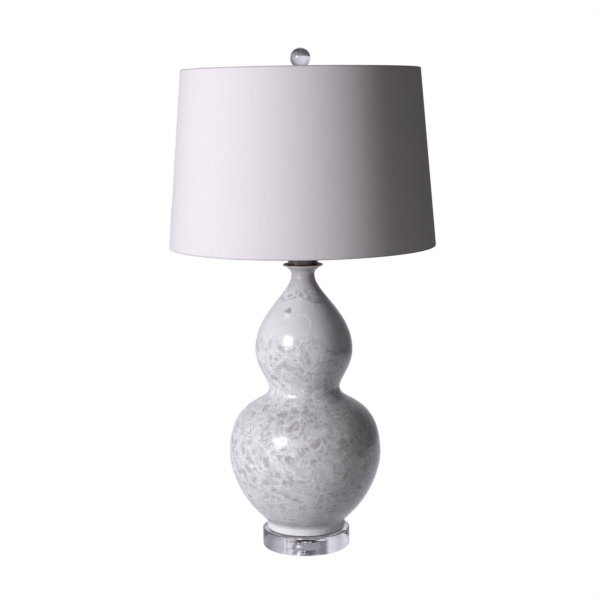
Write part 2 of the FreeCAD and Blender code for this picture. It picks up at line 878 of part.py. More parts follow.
def make_harp_wire():
    body = new_part("harp_wire")
    path = harp_path(body)
    section = new_sketch(body, "XY_Plane", "section")
    wire = size.harp_wire_radius
    foot = size.harp_foot_half_gap
    geometry = section.addGeometry(Part.Circle(Vector(foot.value, 0, 0), Vector(0, 0, 1), wire.value), False)
    pin(section, geometry, 3, (foot, NOTHING))
    bind(section, Constraint("Radius", geometry, wire.value), wire)
    pipe = body.newObject("PartDesign::AdditivePipe", "bent_wire")
    pipe.Profile = section
    pipe.Spine = (path, [f"Edge{number}" for number in range(1, 7)])
    mirror(body, [pipe])
    # Each leg ends in a half-round that laps the saddle's post.
    span = wire * 4
    flat_face = foot + size.lap_clearance
    notch = cut_box(body, "lap", span, span, lap_height, (flat_face - span, -span / 2, NOTHING))
    mirror(body, [notch])
    raise_to(body, leg_bottom)


harp_top = leg_bottom + size.harp_height + size.harp_wire_radius
clip_top = harp_top + size.clip_clearance + size.clip_wall
stud_top = clip_top + size.stud_flange_thickness


def make_harp_top():
    """A clip folded over the harp's level top, and the threaded stud that it carries."""
    clip = new_part("harp_clip")
    slot = size.harp_wire_radius + size.clip_clearance
    side = slot + size.clip_wall
    depth = size.harp_wire_radius * 2 + size.clip_clearance
    pad(clip, [
        (-side, -depth),
        (-slot, -depth),
        (-slot, NOTHING),
        (slot, NOTHING),
        (slot, -depth),
        (side, -depth),
        (side, size.clip_wall),
        (-side, size.clip_wall),
    ], size.clip_half_length * 2, "YZ_Plane")
    raise_to(clip, clip_top - size.clip_wall)

    turned_part("harp_stud", [
        (NOTHING, NOTHING),
        (size.stud_flange_radius, NOTHING),
        (size.stud_flange_radius, size.stud_flange_thickness),
        (size.stud_radius, size.stud_flange_thickness),
        (size.stud_radius, size.stud_flange_thickness + size.stud_length),
        (NOTHING, size.stud_flange_thickness + size.stud_length),
    ], clip_top)


def make_sleeves():
    inner = size.harp_wire_radius + size.sleeve_clearance
    outline = tube_outline(inner, inner + size.sleeve_wall, size.sleeve_length)
    for label, across in (("harp_sleeve_left", -size.harp_foot_half_gap),
                          ("harp_sleeve_right", size.harp_foot_half_gap)):
        body = new_part(label)
        revolve(body, outline)
        place(body, (across, NOTHING, shoulder_top + size.lap_clearance))


# ---------------------------------------------------------------- socket

shell_radius = size.socket_cap_radius - size.socket_cap_wall - size.shell_clearance
shell_inside = shell_radius - size.shell_wall
shell_bottom = socket_bottom + size.socket_cap_height - size.shell_lap
liner_radius = shell_inside - size.liner_clearance
liner_inside = liner_radius - size.liner_wall
liner_bottom = shell_bottom + size.liner_inset
liner_height = size.shell_height - size.liner_inset * 2
switch_body_radius = liner_inside - size.switch_body_clearance
switch_body_bottom = liner_bottom
switch_body_top = switch_body_bottom + size.switch_body_height
knob_axis_height = switch_body_bottom + size.knob_shaft_height
slot_half_width = size.knob_slot_width / 2


def make_socket_cap():
    wall = size.socket_cap_wall
    curve_top = size.cap_boss_height + size.socket_cap_curve
    side_pull = (size.socket_cap_radius - size.cap_boss_radius) * ROUND_HANDLE
    down_pull = size.socket_cap_curve * ROUND_HANDLE
    cap = turned_part("socket_cap", [
        (thread_bore, NOTHING),
        (size.cap_boss_radius, NOTHING),
        (size.cap_boss_radius, size.cap_boss_height),
        Bend((size.cap_boss_radius + side_pull, size.cap_boss_height),
             (size.socket_cap_radius, curve_top - down_pull)),
        (size.socket_cap_radius, curve_top),
        (size.socket_cap_radius, size.socket_cap_height),
        (size.socket_cap_radius - wall, size.socket_cap_height),
        (size.socket_cap_radius - wall, curve_top),
        Bend((size.socket_cap_radius - wall, curve_top - down_pull + wall * WALL_HANDLE),
             (size.cap_boss_radius + side_pull - wall, size.cap_boss_height + wall)),
        (size.cap_boss_radius, size.cap_boss_height + wall),
        (thread_bore, size.cap_boss_height + wall),
    ], socket_bottom)
    screw_height = size.cap_boss_height / 2
    drum(cap, "Subtractive", "screw_hole", size.set_screw_radius + size.thread_clearance,
         size.cap_boss_radius * 2, (NOTHING, NOTHING, screw_height), Vector(-1, 0, 0), 90)

    screw = new_part("socket_set_screw")
    shank = size.cap_boss_radius - size.pipe_radius
    head = shank + size.set_screw_head_length
    revolve(screw, [
        (NOTHING, NOTHING),
        (size.set_screw_radius, NOTHING),
        (size.set_screw_radius, shank),
        (size.set_screw_head_radius, shank),
        (size.set_screw_head_radius, head),
        (NOTHING, head),
    ])
    tip = size.pipe_radius + size.thread_clearance
    place(screw, (NOTHING, tip, socket_bottom + screw_height), Vector(-1, 0, 0), 90)


def cut_knob_slot(body, bottom, reach):
    """A slot for the switch shaft, open at the lower edge and facing the front."""
    width = size.knob_slot_width
    top = knob_axis_height - bottom + slot_half_width
    cut_box(body, "knob_slot", width, reach, top + width, (-slot_half_width, -reach, -width))


def make_socket_shell():
    bead = size.shell_bead_height
    middle = size.shell_bead_place
    lip = size.shell_height - size.shell_bead_width
    body = turned_part("socket_shell", [
        (shell_inside, NOTHING),
        (shell_radius, NOTHING),
        (shell_radius, middle - size.shell_bead_width / 2),
        (shell_radius + bead, middle),
        (shell_radius, middle + size.shell_bead_width / 2),
        (shell_radius, lip),
        (shell_radius + bead, lip + size.shell_bead_width / 2),
        (shell_radius, size.shell_height),
        (shell_inside, size.shell_height),
    ], shell_bottom)
    cut_knob_slot(body, shell_bottom, shell_radius + bead)

    liner = turned_part("socket_liner", tube_outline(liner_inside, liner_radius, liner_height), liner_bottom)
    cut_knob_slot(liner, liner_bottom, liner_radius)


def make_switch_body():
    """The moulded body that holds the switch, with a flat at each side for a terminal."""
    body = new_part("switch_body")
    revolve(body, [
        (NOTHING, NOTHING),
        (switch_body_radius, NOTHING),
        (switch_body_radius, size.switch_body_height),
        (NOTHING, size.switch_body_height),
    ])
    screw_hole = size.terminal_screw_radius + size.thread_clearance
    hole_depth = size.terminal_screw_length + size.terminal_screw_room
    width = switch_body_radius * 2
    for edge, inward in ((size.switch_body_flat, -1), (-size.switch_body_flat, 1)):
        box_start = edge if inward < 0 else edge - width
        cut_box(body, "terminal_flat", width, width, size.switch_flat_height,
                (box_start, -switch_body_radius, NOTHING))
        drum(body, "Subtractive", "terminal_hole", screw_hole, hole_depth,
             (edge, NOTHING, size.terminal_screw_height), Vector(0, inward, 0), 90)
    shaft_hole = size.knob_shaft_radius + size.switch_body_clearance
    depth = size.knob_shaft_depth + size.switch_body_clearance
    drum(body, "Subtractive", "shaft_hole", shaft_hole, depth,
         (NOTHING, depth - switch_body_radius, size.knob_shaft_height), Vector(1, 0, 0), 90)
    raise_to(body, switch_body_bottom)

    screws = new_part("terminal_screws")
    for edge, inward in ((size.switch_body_flat, -1), (-size.switch_body_flat, 1)):
        drum(screws, "Additive", "shank", size.terminal_screw_radius, size.terminal_screw_length,
             (edge, NOTHING, NOTHING), Vector(0, inward, 0), 90)
        drum(screws, "Additive", "head", size.terminal_head_radius, size.terminal_head_thickness,
             (edge, NOTHING, NOTHING), Vector(0, -inward, 0), 90)
    raise_to(screws, switch_body_bottom + size.terminal_screw_height)


def make_contacts():
    wall = size.screw_shell_wall
    turned_part("screw_shell", [
        (size.screw_shell_radius, NOTHING),
        (size.screw_shell_flange, NOTHING),
        (size.screw_shell_flange, wall),
        (size.screw_shell_radius + wall, wall),
        (size.screw_shell_radius + wall, size.screw_shell_height),
        (size.screw_shell_radius, size.screw_shell_height),
    ], switch_body_top)

    contact = new_part("centre_contact")
    sheet_metal = size.contact_sheet
    end = size.contact_half_length
    knee = end - size.contact_height
    pad(contact, [
        (-end, NOTHING),
        (-knee, size.contact_height - sheet_metal),
        (knee, size.contact_height - sheet_metal),
        (end, NOTHING),
        (end, sheet_metal),
        (knee, size.contact_height),
        (-knee, size.contact_height),
        (-end, sheet_metal),
    ], size.contact_width)
    raise_to(contact, switch_body_top)


def make_switch_knob():
    """The shaft comes out of the socket's front, along -Y, and carries a ribbed knob."""
    inner_end = switch_body_radius - size.knob_shaft_depth
    knob_start = shell_radius + size.shell_bead_height + size.knob_gap
    shaft_length = knob_start + size.knob_shaft_grip - inner_end
    shaft = new_part("switch_shaft")
    revolve(shaft, [
        (NOTHING, NOTHING),
        (size.knob_shaft_radius, NOTHING),
        (size.knob_shaft_radius, shaft_length),
        (NOTHING, shaft_length),
    ])
    place(shaft, (NOTHING, -inner_end, knob_axis_height), Vector(1, 0, 0), 90)

    knob = new_part("switch_knob")
    bore = size.knob_shaft_radius + size.thread_clearance
    revolve(knob, [
        (bore, NOTHING),
        (size.knob_radius, NOTHING),
        (size.knob_radius, size.knob_length),
        (NOTHING, size.knob_length),
        (NOTHING, size.knob_shaft_grip),
        (bore, size.knob_shaft_grip),
    ])
    round_rings(knob, size.knob_round, [(size.knob_radius, size.knob_length)])
    place(knob, (NOTHING, -knob_start, knob_axis_height), Vector(1, 0, 0), 90)


# ---------------------------------------------------------------- light bulb


def make_bulb():
    tip_bottom = switch_body_top + size.contact_height + size.contact_gap
    turned_part("bulb_tip_contact", [
        (NOTHING, NOTHING),
        (size.tip_radius / 2, NOTHING),
        (size.tip_radius, size.tip_height / 2),
        (size.tip_radius, size.tip_height),
        (NOTHING, size.tip_height),
    ], tip_bottom)

    insulator_bottom = tip_bottom + size.tip_height
    turned_part("bulb_insulator", [
        (NOTHING, NOTHING),
        (size.tip_radius + size.insulator_step, NOTHING),
        (size.insulator_radius, size.insulator_height),
        (NOTHING, size.insulator_height),
    ], insulator_bottom)

    base_bottom = insulator_bottom + size.insulator_height
    inside = size.bulb_base_radius - size.bulb_base_wall
    turned_part("bulb_screw_base", [
        (NOTHING, NOTHING),
        (size.insulator_radius, NOTHING),
        (size.bulb_base_radius, size.bulb_base_radius - size.insulator_radius),
        (size.bulb_base_radius, size.bulb_base_height),
        (inside, size.bulb_base_height),
        (inside, size.bulb_base_radius - size.insulator_radius),
        (size.insulator_radius, size.bulb_base_wall),
        (NOTHING, size.bulb_base_wall),
    ], base_bottom)

    glass_bottom = base_bottom + size.bulb_neck_start
    neck = inside - size.bulb_neck_gap
    height = tip_bottom + size.bulb_length - glass_bottom
    middle = height - size.bulb_radius
    wall = size.bulb_wall
    neck_top = size.bulb_neck_straight
    inner_neck = neck - wall
    inner_radius = size.bulb_radius - wall
    turned_part("bulb_glass", [
        (inner_neck, NOTHING),
        (neck, NOTHING),
        (neck, neck_top),
        Bend((neck, neck_top + size.bulb_neck_pull), (size.bulb_radius, middle - size.bulb_side_pull)),
        (size.bulb_radius, middle),
        Round((NOTHING, middle)),
        (NOTHING, height),
        (NOTHING, height - wall),
        RoundBack((NOTHING, middle)),
        (inner_radius, middle),
        Bend((inner_radius, middle - size.bulb_side_pull), (inner_neck, neck_top + size.bulb_neck_pull)),
        (inner_neck, neck_top),
    ], glass_bottom)


# ---------------------------------------------------------------- shade and finial

washer_height = size.shade_height - size.spider_recess
shade_bottom = stud_top - washer_height
shade_slope = (size.shade_bottom_radius - size.shade_top_radius) / size.shade_height
layer_gap = size.shade_layer_gap
liner_depth = size.fabric_thickness + layer_gap
ring_depth = liner_depth + size.liner_thickness + layer_gap
flap_depth = ring_depth + size.ring_wire_radius * 2 + layer_gap
hem_inside_depth = flap_depth + size.fabric_thickness
low_ring_height = size.fabric_thickness + layer_gap + size.ring_wire_radius
high_ring_height = size.shade_height - low_ring_height


def shade_point(depth, height):
    """A point at a height in the shade's wall, at a depth inside its outer face."""
    return (size.shade_bottom_radius - shade_slope * height - depth, as_size(height))


def make_shade_cloth():
    """Fabric on its lining; its hems turn in round the two wire rings."""
    fold = size.fabric_thickness
    top = size.shade_height
    fabric = turned_part("shade_fabric", [
        shade_point(NOTHING, NOTHING),
        shade_point(NOTHING, top),
        shade_point(hem_inside_depth, top),
        shade_point(hem_inside_depth, top - size.hem_depth),
        shade_point(flap_depth, top - size.hem_depth),
        shade_point(flap_depth, top - fold),
        shade_point(fold, top - fold),
        shade_point(fold, fold),
        shade_point(flap_depth, fold),
        shade_point(flap_depth, size.hem_depth),
        shade_point(hem_inside_depth, size.hem_depth),
        shade_point(hem_inside_depth, NOTHING),
    ], shade_bottom)
    # Three notches let the spider's arms through the upper hem.
    width = size.hem_notch_width
    notch_out = size.shade_top_radius - ring_depth - size.ring_wire_radius
    depth = size.ring_wire_radius * 4
    notch = cut_box(fabric, "arm_notch", width, depth, size.hem_depth,
                    (-width / 2, notch_out - depth, top - fold - size.hem_depth))
    repeat_round(fabric, [notch], SPIDER_ARMS)

    turned_part("shade_liner", [
        shade_point(liner_depth, fold + layer_gap),
        shade_point(liner_depth, top - fold - layer_gap),
        shade_point(liner_depth + size.liner_thickness, top - fold - layer_gap),
        shade_point(liner_depth + size.liner_thickness, fold + layer_gap),
    ], shade_bottom)


def make_ring(label, height):
    wire = size.ring_wire_radius
    radius = shade_point(ring_depth + wire, height)[0]
    body = new_part(label)
    sketch = new_sketch(body, "XZ_Plane", "section")
    circle = Part.Circle(flat((radius, NOTHING)), Vector(0, 0, 1), wire.value)
    geometry = sketch.addGeometry(circle, False)
    pin(sketch, geometry, 3, (radius, NOTHING))
    bind(sketch, Constraint("Radius", geometry, wire.value), wire)
    turned = body.newObject("PartDesign::Revolution", "turned")
    turned.Profile = sketch
    turned.ReferenceAxis = (sketch, ["V_Axis"])
    turned.Angle = 360
    raise_to(body, shade_bottom + height)
    return radius


def make_spider(ring_radius):
    """The washer on the harp's stud and three welded arms that rise to the top ring."""
    body = new_part("shade_spider")
    revolve(body, tube_outline(size.stud_radius + size.spider_hole_clearance, size.spider_hub_radius,
                               size.spider_hub_thickness))
    arm_height = size.spider_hub_thickness / 2
    ring_height = high_ring_height - washer_height
    arm_end = ring_radius - size.ring_wire_radius - size.spider_end_gap
    ramp_start = arm_end - size.spider_ramp_length
    path = new_sketch(body, "YZ_Plane", "arm_path")
    start = (size.spider_hub_radius - size.spider_weld, arm_height)
    corner = (ramp_start, arm_height)
    end = (arm_end, ring_height - size.spider_end_drop)
    level = add_line(path, start, corner)
    ramp = add_line(path, corner, end)
    pin(path, level, 1, start)
    pin(path, ramp, 1, corner)
    pin(path, ramp, 2, end)
    path.addConstraint(Constraint("Coincident", level, 2, ramp, 1))
    section = new_sketch(body, "XZ_Plane", "arm_section")
    section.AttachmentOffset = Placement(Vector(0, 0, -start[0].value), Rotation())
    section.setExpression("AttachmentOffset.Base.z", (-start[0]).text)
    wire = size.spider_wire_radius
    circle = Part.Circle(Vector(0, arm_height.value, 0), Vector(0, 0, 1), wire.value)
    geometry = section.addGeometry(circle, False)
    pin(section, geometry, 3, (NOTHING, arm_height))
    bind(section, Constraint("Radius", geometry, wire.value), wire)
    arm = body.newObject("PartDesign::AdditivePipe", "arm")
    arm.Profile = section
    arm.Spine = (path, ["Edge1", "Edge2"])
    arm.Transition = "Round corner"
    repeat_round(body, [arm], SPIDER_ARMS)
    raise_to(body, stud_top)


def make_finial():
    finial_bottom = stud_top + size.spider_hub_thickness
    bore = size.stud_radius + size.finial_bore_clearance
    depth = size.stud_length - size.spider_hub_thickness + size.finial_thread_runout
    ball = size.finial_ball_radius
    seat_radius = ball + size.finial_seat_gap
    ball_middle = size.finial_seat_height + seat_radius
    cup = size.finial_cup_radius
    rim_height = ball_middle - (seat_radius * seat_radius - cup * cup).root()
    turned_part("finial_base", [
        (bore, NOTHING),
        (size.finial_foot_radius, NOTHING),
        (size.finial_foot_radius, size.finial_foot_height),
        (size.finial_stem_radius, size.finial_foot_height + size.finial_edge),
        (size.finial_stem_radius, size.finial_stem_height),
        (cup, rim_height - size.finial_edge),
        (cup, rim_height),
        RoundBack((NOTHING, ball_middle)),
        (NOTHING, size.finial_seat_height),
        (NOTHING, depth),
        (bore, depth),
    ], finial_bottom)
    turned_part("finial_ball", [
        (NOTHING, -ball),
        Round((NOTHING, NOTHING)),
        (NOTHING, ball),
    ], finial_bottom + ball_middle)


# ---------------------------------------------------------------- build and write

make_base()
make_base_fastening()
make_pipe()
make_foot_gasket()
make_gourd()
make_bushing()
make_neck_metal()
make_saddle()
make_harp_wire()
make_harp_top()
make_sleeves()
make_socket_cap()
make_socket_shell()
make_switch_body()
make_contacts()
make_switch_knob()
make_bulb()
make_shade_cloth()
make_ring("shade_bottom_ring", low_ring_height)
make_spider(make_ring("shade_top_ring", high_ring_height))
make_finial()
document.recompute()

for item in document.Objects:
    if "Invalid" in item.State or "Error" in item.State:
        raise ValueError(f"{item.Label} failed: {item.State}")
for part in parts:
    if part.Shape.isNull() or not part.Shape.isValid() or not part.Shape.Solids:
        raise ValueError(f"{part.Label} has no valid solid")

os.makedirs("parts", exist_ok=True)
for part in parts:
    part.Shape.exportStep(f"parts/{part.Label}.step")
    box = part.Shape.optimalBoundingBox()
    print(f"{part.Label}: {len(part.Shape.Solids)} solid, {part.Shape.Volume / 1000:.1f} cm3, "
          f"z {box.ZMin:.1f} to {box.ZMax:.1f}")
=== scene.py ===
"""Double gourd table lamp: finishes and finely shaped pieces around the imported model."""
import math

import bmesh
import bpy
import numpy as np
from bpy.props import FloatProperty, FloatVectorProperty, IntProperty, PointerProperty
from mathutils import Euler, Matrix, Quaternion, Vector


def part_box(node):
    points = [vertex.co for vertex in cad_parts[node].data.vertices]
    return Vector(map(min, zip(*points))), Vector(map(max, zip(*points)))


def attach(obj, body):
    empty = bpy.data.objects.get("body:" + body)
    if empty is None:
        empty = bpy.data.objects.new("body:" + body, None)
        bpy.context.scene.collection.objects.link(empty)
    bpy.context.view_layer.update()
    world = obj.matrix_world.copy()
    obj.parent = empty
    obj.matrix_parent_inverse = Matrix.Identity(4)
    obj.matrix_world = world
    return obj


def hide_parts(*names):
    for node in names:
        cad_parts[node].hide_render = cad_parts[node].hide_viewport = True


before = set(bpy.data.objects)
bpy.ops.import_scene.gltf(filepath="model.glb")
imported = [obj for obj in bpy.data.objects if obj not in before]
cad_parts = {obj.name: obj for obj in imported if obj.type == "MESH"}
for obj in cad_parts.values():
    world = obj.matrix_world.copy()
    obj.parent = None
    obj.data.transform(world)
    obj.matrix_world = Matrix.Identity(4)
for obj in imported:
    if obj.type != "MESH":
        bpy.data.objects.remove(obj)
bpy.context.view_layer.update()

bl_info = {
    "name": "Double Gourd Table Lamp",
    "version": (1, 0, 0),
    "blender": (4, 5, 0),
    "location": "3D View > Sidebar > Gourd Lamp",
    "description": "Dresses the packed lamp with its glaze, cloth, clear and metal finishes",
    "category": "Object",
}

MM = 0.001
TURN = 2 * math.pi


def from_hex(text):
    """An sRGB hex colour as linear red, green and blue."""
    part = [int(text[place:place + 2], 16) / 255 for place in (1, 3, 5)]
    return [c / 12.92 if c <= 0.04045 else ((c + 0.055) / 1.055) ** 2.4 for c in part]


def opaque(colour):
    return (*colour, 1.0)


# ---------------------------------------------------------------- what a user may change


def length(name, description, millimetres):
    return FloatProperty(name=name, description=description, default=millimetres * MM, min=0.0,
                         precision=5, subtype="DISTANCE", unit="LENGTH")


def power(name, description, watts):
    return FloatProperty(name=name, description=description, default=watts, unit="POWER")


def share(name, description, part):
    return FloatProperty(name=name, description=description, default=part, min=0.0, max=1.0,
                         subtype="FACTOR")


def colour(name, description, text):
    return FloatVectorProperty(name=name, description=description, default=from_hex(text),
                               min=0.0, max=1.0, size=3, subtype="COLOR")


def spot(name, description, place):
    return FloatVectorProperty(name=name, description=description, default=place, unit="LENGTH",
                               subtype="XYZ")


class StudioSettings(bpy.types.PropertyGroup):
    """The camera, the lights and the pale floor."""
    camera_back: length("Camera distance", "From the lamp's axis to the camera", 2056)
    camera_height: length("Camera height", "Above the floor", 685)
    camera_aside: length("Camera aside", "How far left of the axis the camera stands", 5.1)
    camera_pitch: FloatProperty(name="Pitch", description="How far the camera looks down",
                                default=math.radians(8.25), subtype="ANGLE", unit="ROTATION")
    camera_roll: FloatProperty(name="Roll", description="How far the camera leans to the right",
                               default=math.radians(0.75), subtype="ANGLE", unit="ROTATION")
    camera_lens: FloatProperty(name="Lens", description="Focal length", default=81.0,
                               unit="CAMERA")
    key_power: power("Key", "Power of the softbox that shows in the gloss", 20.0)
    side_power: power("Side", "Power of the broad side light", 50.5)
    card_power: power("Card", "Power of the weak light in front", 3.0)
    back_power: power("Back", "Power of the light behind the lamp", 16.0)
    fill: share("Fill", "Brightness of the dim room", 0.048)
    bounce: share("Bounce", "Light that the floor sends back up", 0.16)


class GlazeSettings(bpy.types.PropertyGroup):
    """The gourd's mottled glaze."""
    ground: colour("Ground", "Pale lavender glaze between the crystals", "#ebe8f0")
    crystal: colour("Crystal", "Taupe of the darker crystals", "#9f979e")
    vein: colour("Vein", "White where crystals meet", "#fbf8ff")
    foot: colour("Foot", "Bare, speckled foot band", "#f6f3fa")
    crystal_size: length("Crystal size", "Width of one crystal", 15.0)
    patch_at: spot("Patch", "A single crystal high on the upper bulb", (-0.0243, -0.0448, 0.3780))
    streak_at: spot("Streak", "The white streak under that crystal", (-0.0243, -0.0475, 0.3704))
    curl_at: spot("Curl", "Middle of a single curved vein", (-0.0079, -0.0615, 0.3560))
    patch_radius: length("Patch radius", "Radius of the single crystal", 8.0)
    streak_radius: length("Streak radius", "Radius of the white streak", 7.0)
    curl_radius: length("Curl radius", "Radius of the curved vein", 19.0)
    curl_width: length("Curl width", "Half the width of the curved vein", 1.8)


class ShadeSettings(bpy.types.PropertyGroup):
    """The drum shade's cloth."""
    bottom_radius: length("Bottom radius", "Outer radius at the lower rim", 203.2)
    top_radius: length("Top radius", "Outer radius at the upper rim", 180.3)
    thickness: length("Cloth thickness", "Thickness of the cloth", 0.8)
    hem_depth: length("Hem depth", "How far each hem turns down inside", 9.0)
    hem_reach: length("Hem reach", "From the outer face to the hem's inner face", 5.35)
    fold_round: length("Fold rounding", "Radius of the cloth's folds", 1.6)
    lap_width: length("Lap width", "Width of the glued lap at the back", 14.0)
    arm_notch: length("Arm notch", "Width of each notch for the fitter's arms", 6.0)
    yarn: length("Yarn spacing", "Spacing of the slubs that show", 3.2)
    cloth: colour("Cloth", "Off-white cloth", "#ebe5ed")


class ClearSettings(bpy.types.PropertyGroup):
    """The clear base and the clear ball."""
    recess_radius: length("Recess radius", "Recess under the base", 23.5)
    recess_depth: length("Recess depth", "Depth of the recess", 11.0)
    hole_radius: length("Hole radius", "Hole for the pipe", 5.3)
    edge_round: length("Edge rounding", "Polished edge of the base", 2.0)
    bore_round: length("Bore rounding", "Broken edge of the recess and hole", 0.3)


class HardwareSettings(bpy.types.PropertyGroup):
    """The switch knob, the bulb's threaded base and the metal finishes."""
    knob_ribs: IntProperty(name="Knob ribs", description="Ribs round the switch knob", default=20,
                           min=3, subtype="UNSIGNED")
    rib_depth: length("Rib depth", "Depth of the grooves between the ribs", 0.5)
    thread_pitch: length("Bulb thread pitch", "Seven turns to the inch", 3.63)
    thread_depth: length("Bulb thread depth", "Depth of the rolled thread", 0.9)
    bronze: colour("Bronze", "Dark bronze plating", "#6c6360")
    # painted sheen: the pale colour painted on the cap's rim in place of its reflection
    painted_rim_sheen: colour("Rubbed rim", "Where the cap's plating is rubbed pale", "#dccbbf")
    brass: colour("Brass", "Brass plating of the lampholder", "#b89a5e")


# ---------------------------------------------------------------- surfaces


def rounded(corners, radii, steps=7):
    """An outline with its corners turned into arcs: each arc runs between the two points at
    radius / tan(half the corner's angle) from the corner, swept about the point between them."""
    points = []
    corners = np.array(corners, float)
    before = np.roll(corners, 1, axis=0)
    after = np.roll(corners, -1, axis=0)
    for corner, first, last, radius in zip(corners, before, after, radii):
        if radius == 0:
            points.append(corner[None])
            continue
        one = (first - corner) / np.linalg.norm(first - corner)
        two = (last - corner) / np.linalg.norm(last - corner)
        half = math.acos(float(np.clip(one @ two, -1, 1))) / 2
        centre = corner + (one + two) / np.linalg.norm(one + two) * radius / math.sin(half)
        start = corner + one * radius / math.tan(half) - centre
        end = corner + two * radius / math.tan(half) - centre
        sweep = math.atan2(start[0] * end[1] - start[1] * end[0], start @ end)
        turn = np.linspace(0, sweep, steps)
        points.append(centre + np.stack([start[0] * np.cos(turn) - start[1] * np.sin(turn),
                                         start[0] * np.sin(turn) + start[1] * np.cos(turn)], 1))
    return np.concatenate(points)


def divided(outline, step):
    """The outline with points added so that none of its runs is longer than step."""
    run = np.linalg.norm(np.diff(outline, axis=0), axis=1)
    pieces = np.maximum(1, np.ceil(run / step).astype(int))
    start = np.repeat(outline[:-1], pieces, axis=0)
    way = np.repeat(np.diff(outline, axis=0), pieces, axis=0)
    place = np.concatenate([np.arange(count) / count for count in pieces])
    return np.concatenate([start + way * place[:, None], outline[-1:]])


def turned(radius, height, angle):
    """Points of a surface of revolution: (r cos a, r sin a, z) for every pair of row and angle."""
    radius, height, angle = np.broadcast_arrays(radius, height, angle)
    return np.stack([radius * np.cos(angle), radius * np.sin(angle), height], -1)


def skin(name, grid, keep=None, chart=None):
    """A mesh over a grid of points, rows along the first axis; doubles are merged, so that seams
    and poles close. keep chooses its faces and chart gives a UV map in metres."""
    join, sharp = 0.001 * MM, math.radians(35)
    rows, columns = grid.shape[:2]
    number = np.arange(rows * columns).reshape(rows, columns)
    faces = np.stack([number[:-1, :-1], number[:-1, 1:], number[1:, 1:], number[1:, :-1]], -1)
    faces = faces[keep] if keep is not None else faces.reshape(-1, 4)
    mesh = bpy.data.meshes.new(name)
    mesh.from_pydata(grid.reshape(-1, 3), [], faces)
    if chart is not None:
        layer = mesh.uv_layers.new(name="cut")
        layer.data.foreach_set("uv", chart.reshape(-1, 2)[faces.ravel()].astype(np.float32).ravel())
    work = bmesh.new()
    work.from_mesh(mesh)
    bmesh.ops.remove_doubles(work, verts=work.verts, dist=join)
    work.to_mesh(mesh)
    work.free()
    mesh.shade_smooth()
    mesh.set_sharp_from_angle(angle=sharp)
    piece = bpy.data.objects.new(name, mesh)
    bpy.context.scene.collection.objects.link(piece)
    return piece


def lathe(name, outline, turns, close=True):
    """A solid of revolution about the lamp's axis from an outline of radii and heights."""
    if close:
        outline = np.concatenate([outline, outline[:1]])
    angle = np.linspace(0, TURN, turns + 1)
    return skin(name, turned(outline[:, :1], outline[:, 1:], angle[None]))


# ---------------------------------------------------------------- finishes


def add(tree, kind, inputs=(), **settings):
    """Adds a node with its settings; an input that is given a socket is linked to it."""
    node = tree.nodes.new(kind)
    for name, value in settings.items():
        setattr(node, name, value)
    for key, value in dict(inputs).items():
        if isinstance(value, bpy.types.NodeSocket):
            tree.links.new(value, node.inputs[key])
        else:
            node.inputs[key].default_value = value
    return node


def ramp(tree, value, start, end, low=0.0, high=1.0, soft=False):
    """Low up to start and high from end on; soft eases both ends of the rise between them."""
    reach = {"Value": value, "From Min": start, "From Max": end, "To Min": low, "To Max": high}
    return add(tree, "ShaderNodeMapRange", reach,
               interpolation_type="SMOOTHSTEP" if soft else "LINEAR").outputs[0]


def between(tree, value, low, high):
    """A value from 0 to 1, spread evenly from low to high."""
    return ramp(tree, value, 0.0, 1.0, low, high)


def maths(tree, operation, *values):
    return add(tree, "ShaderNodeMath", dict(enumerate(values)), operation=operation).outputs[0]


def apart(tree, value, middle):
    """How far a value is from a middle one, either way."""
    return maths(tree, "ABSOLUTE", maths(tree, "SUBTRACT", value, middle))


def vectors(tree, operation, *values):
    """What an operation on vectors gives: a vector, or a number for the three that measure."""
    node = add(tree, "ShaderNodeVectorMath", dict(enumerate(values)), operation=operation)
    return node.outputs["Value" if operation in ("LENGTH", "DISTANCE", "DOT_PRODUCT") else "Vector"]


def mixed(tree, share, first, second):
    """Two values mixed: the first where share is 0, the second where it is 1."""
    return add(tree, "ShaderNodeMix", {0: share, 2: first, 3: second}).outputs[0]


def blended(tree, share, first, second):
    """Two colours mixed in the same way, each a socket or red, green and blue."""
    first, second = (one if isinstance(one, bpy.types.NodeSocket) else opaque(one)
                     for one in (first, second))
    return add(tree, "ShaderNodeMix", {0: share, 6: first, 7: second}, data_type="RGBA").outputs[2]


def toned(colour, factor):
    """A darker or lighter tone of a colour."""
    return [min(1.0, c * factor) for c in colour]


def object_place(tree):
    return add(tree, "ShaderNodeTexCoord").outputs["Object"]


def object_height(tree):
    return add(tree, "ShaderNodeSeparateXYZ", {"Vector": object_place(tree)}).outputs["Z"]


def noise(tree, place, size, detail=2.0, distortion=0.0):
    """Noise whose blotches are about size across."""
    return add(tree, "ShaderNodeTexNoise", {"Vector": place, "Scale": 1 / size, "Detail": detail,
                                            "Distortion": distortion}).outputs


def grain(tree, size, detail=2.0, stretch=(1, 1, 1)):
    """Noise on Object coordinates, as one value."""
    place = add(tree, "ShaderNodeMapping", {"Vector": object_place(tree), "Scale": stretch})
    return noise(tree, place.outputs["Vector"], size, detail)["Fac"]


def pushed(tree, place, size, detail, reach):
    """The place, pushed to and fro by noise, by up to half of reach each way."""
    push = noise(tree, place, size, detail)["Color"]
    push = vectors(tree, "SUBTRACT", push, (0.5, 0.5, 0.5))
    push = add(tree, "ShaderNodeVectorMath", {0: push, "Scale": reach}, operation="SCALE")
    return vectors(tree, "ADD", place, push.outputs[0])


def bump(tree, height, strength, depth):
    return add(tree, "ShaderNodeBump", {"Height": height, "Strength": strength,
                                        "Distance": depth}).outputs[0]


def new_finish(name):
    finish = bpy.data.materials.new(name)
    finish.use_nodes = True
    finish.node_tree.nodes.clear()
    return finish, finish.node_tree


def close_finish(tree, surface):
    add(tree, "ShaderNodeOutputMaterial", {"Surface": surface})


def principled(tree, inputs):
    close_finish(tree, add(tree, "ShaderNodeBsdfPrincipled", inputs).outputs[0])


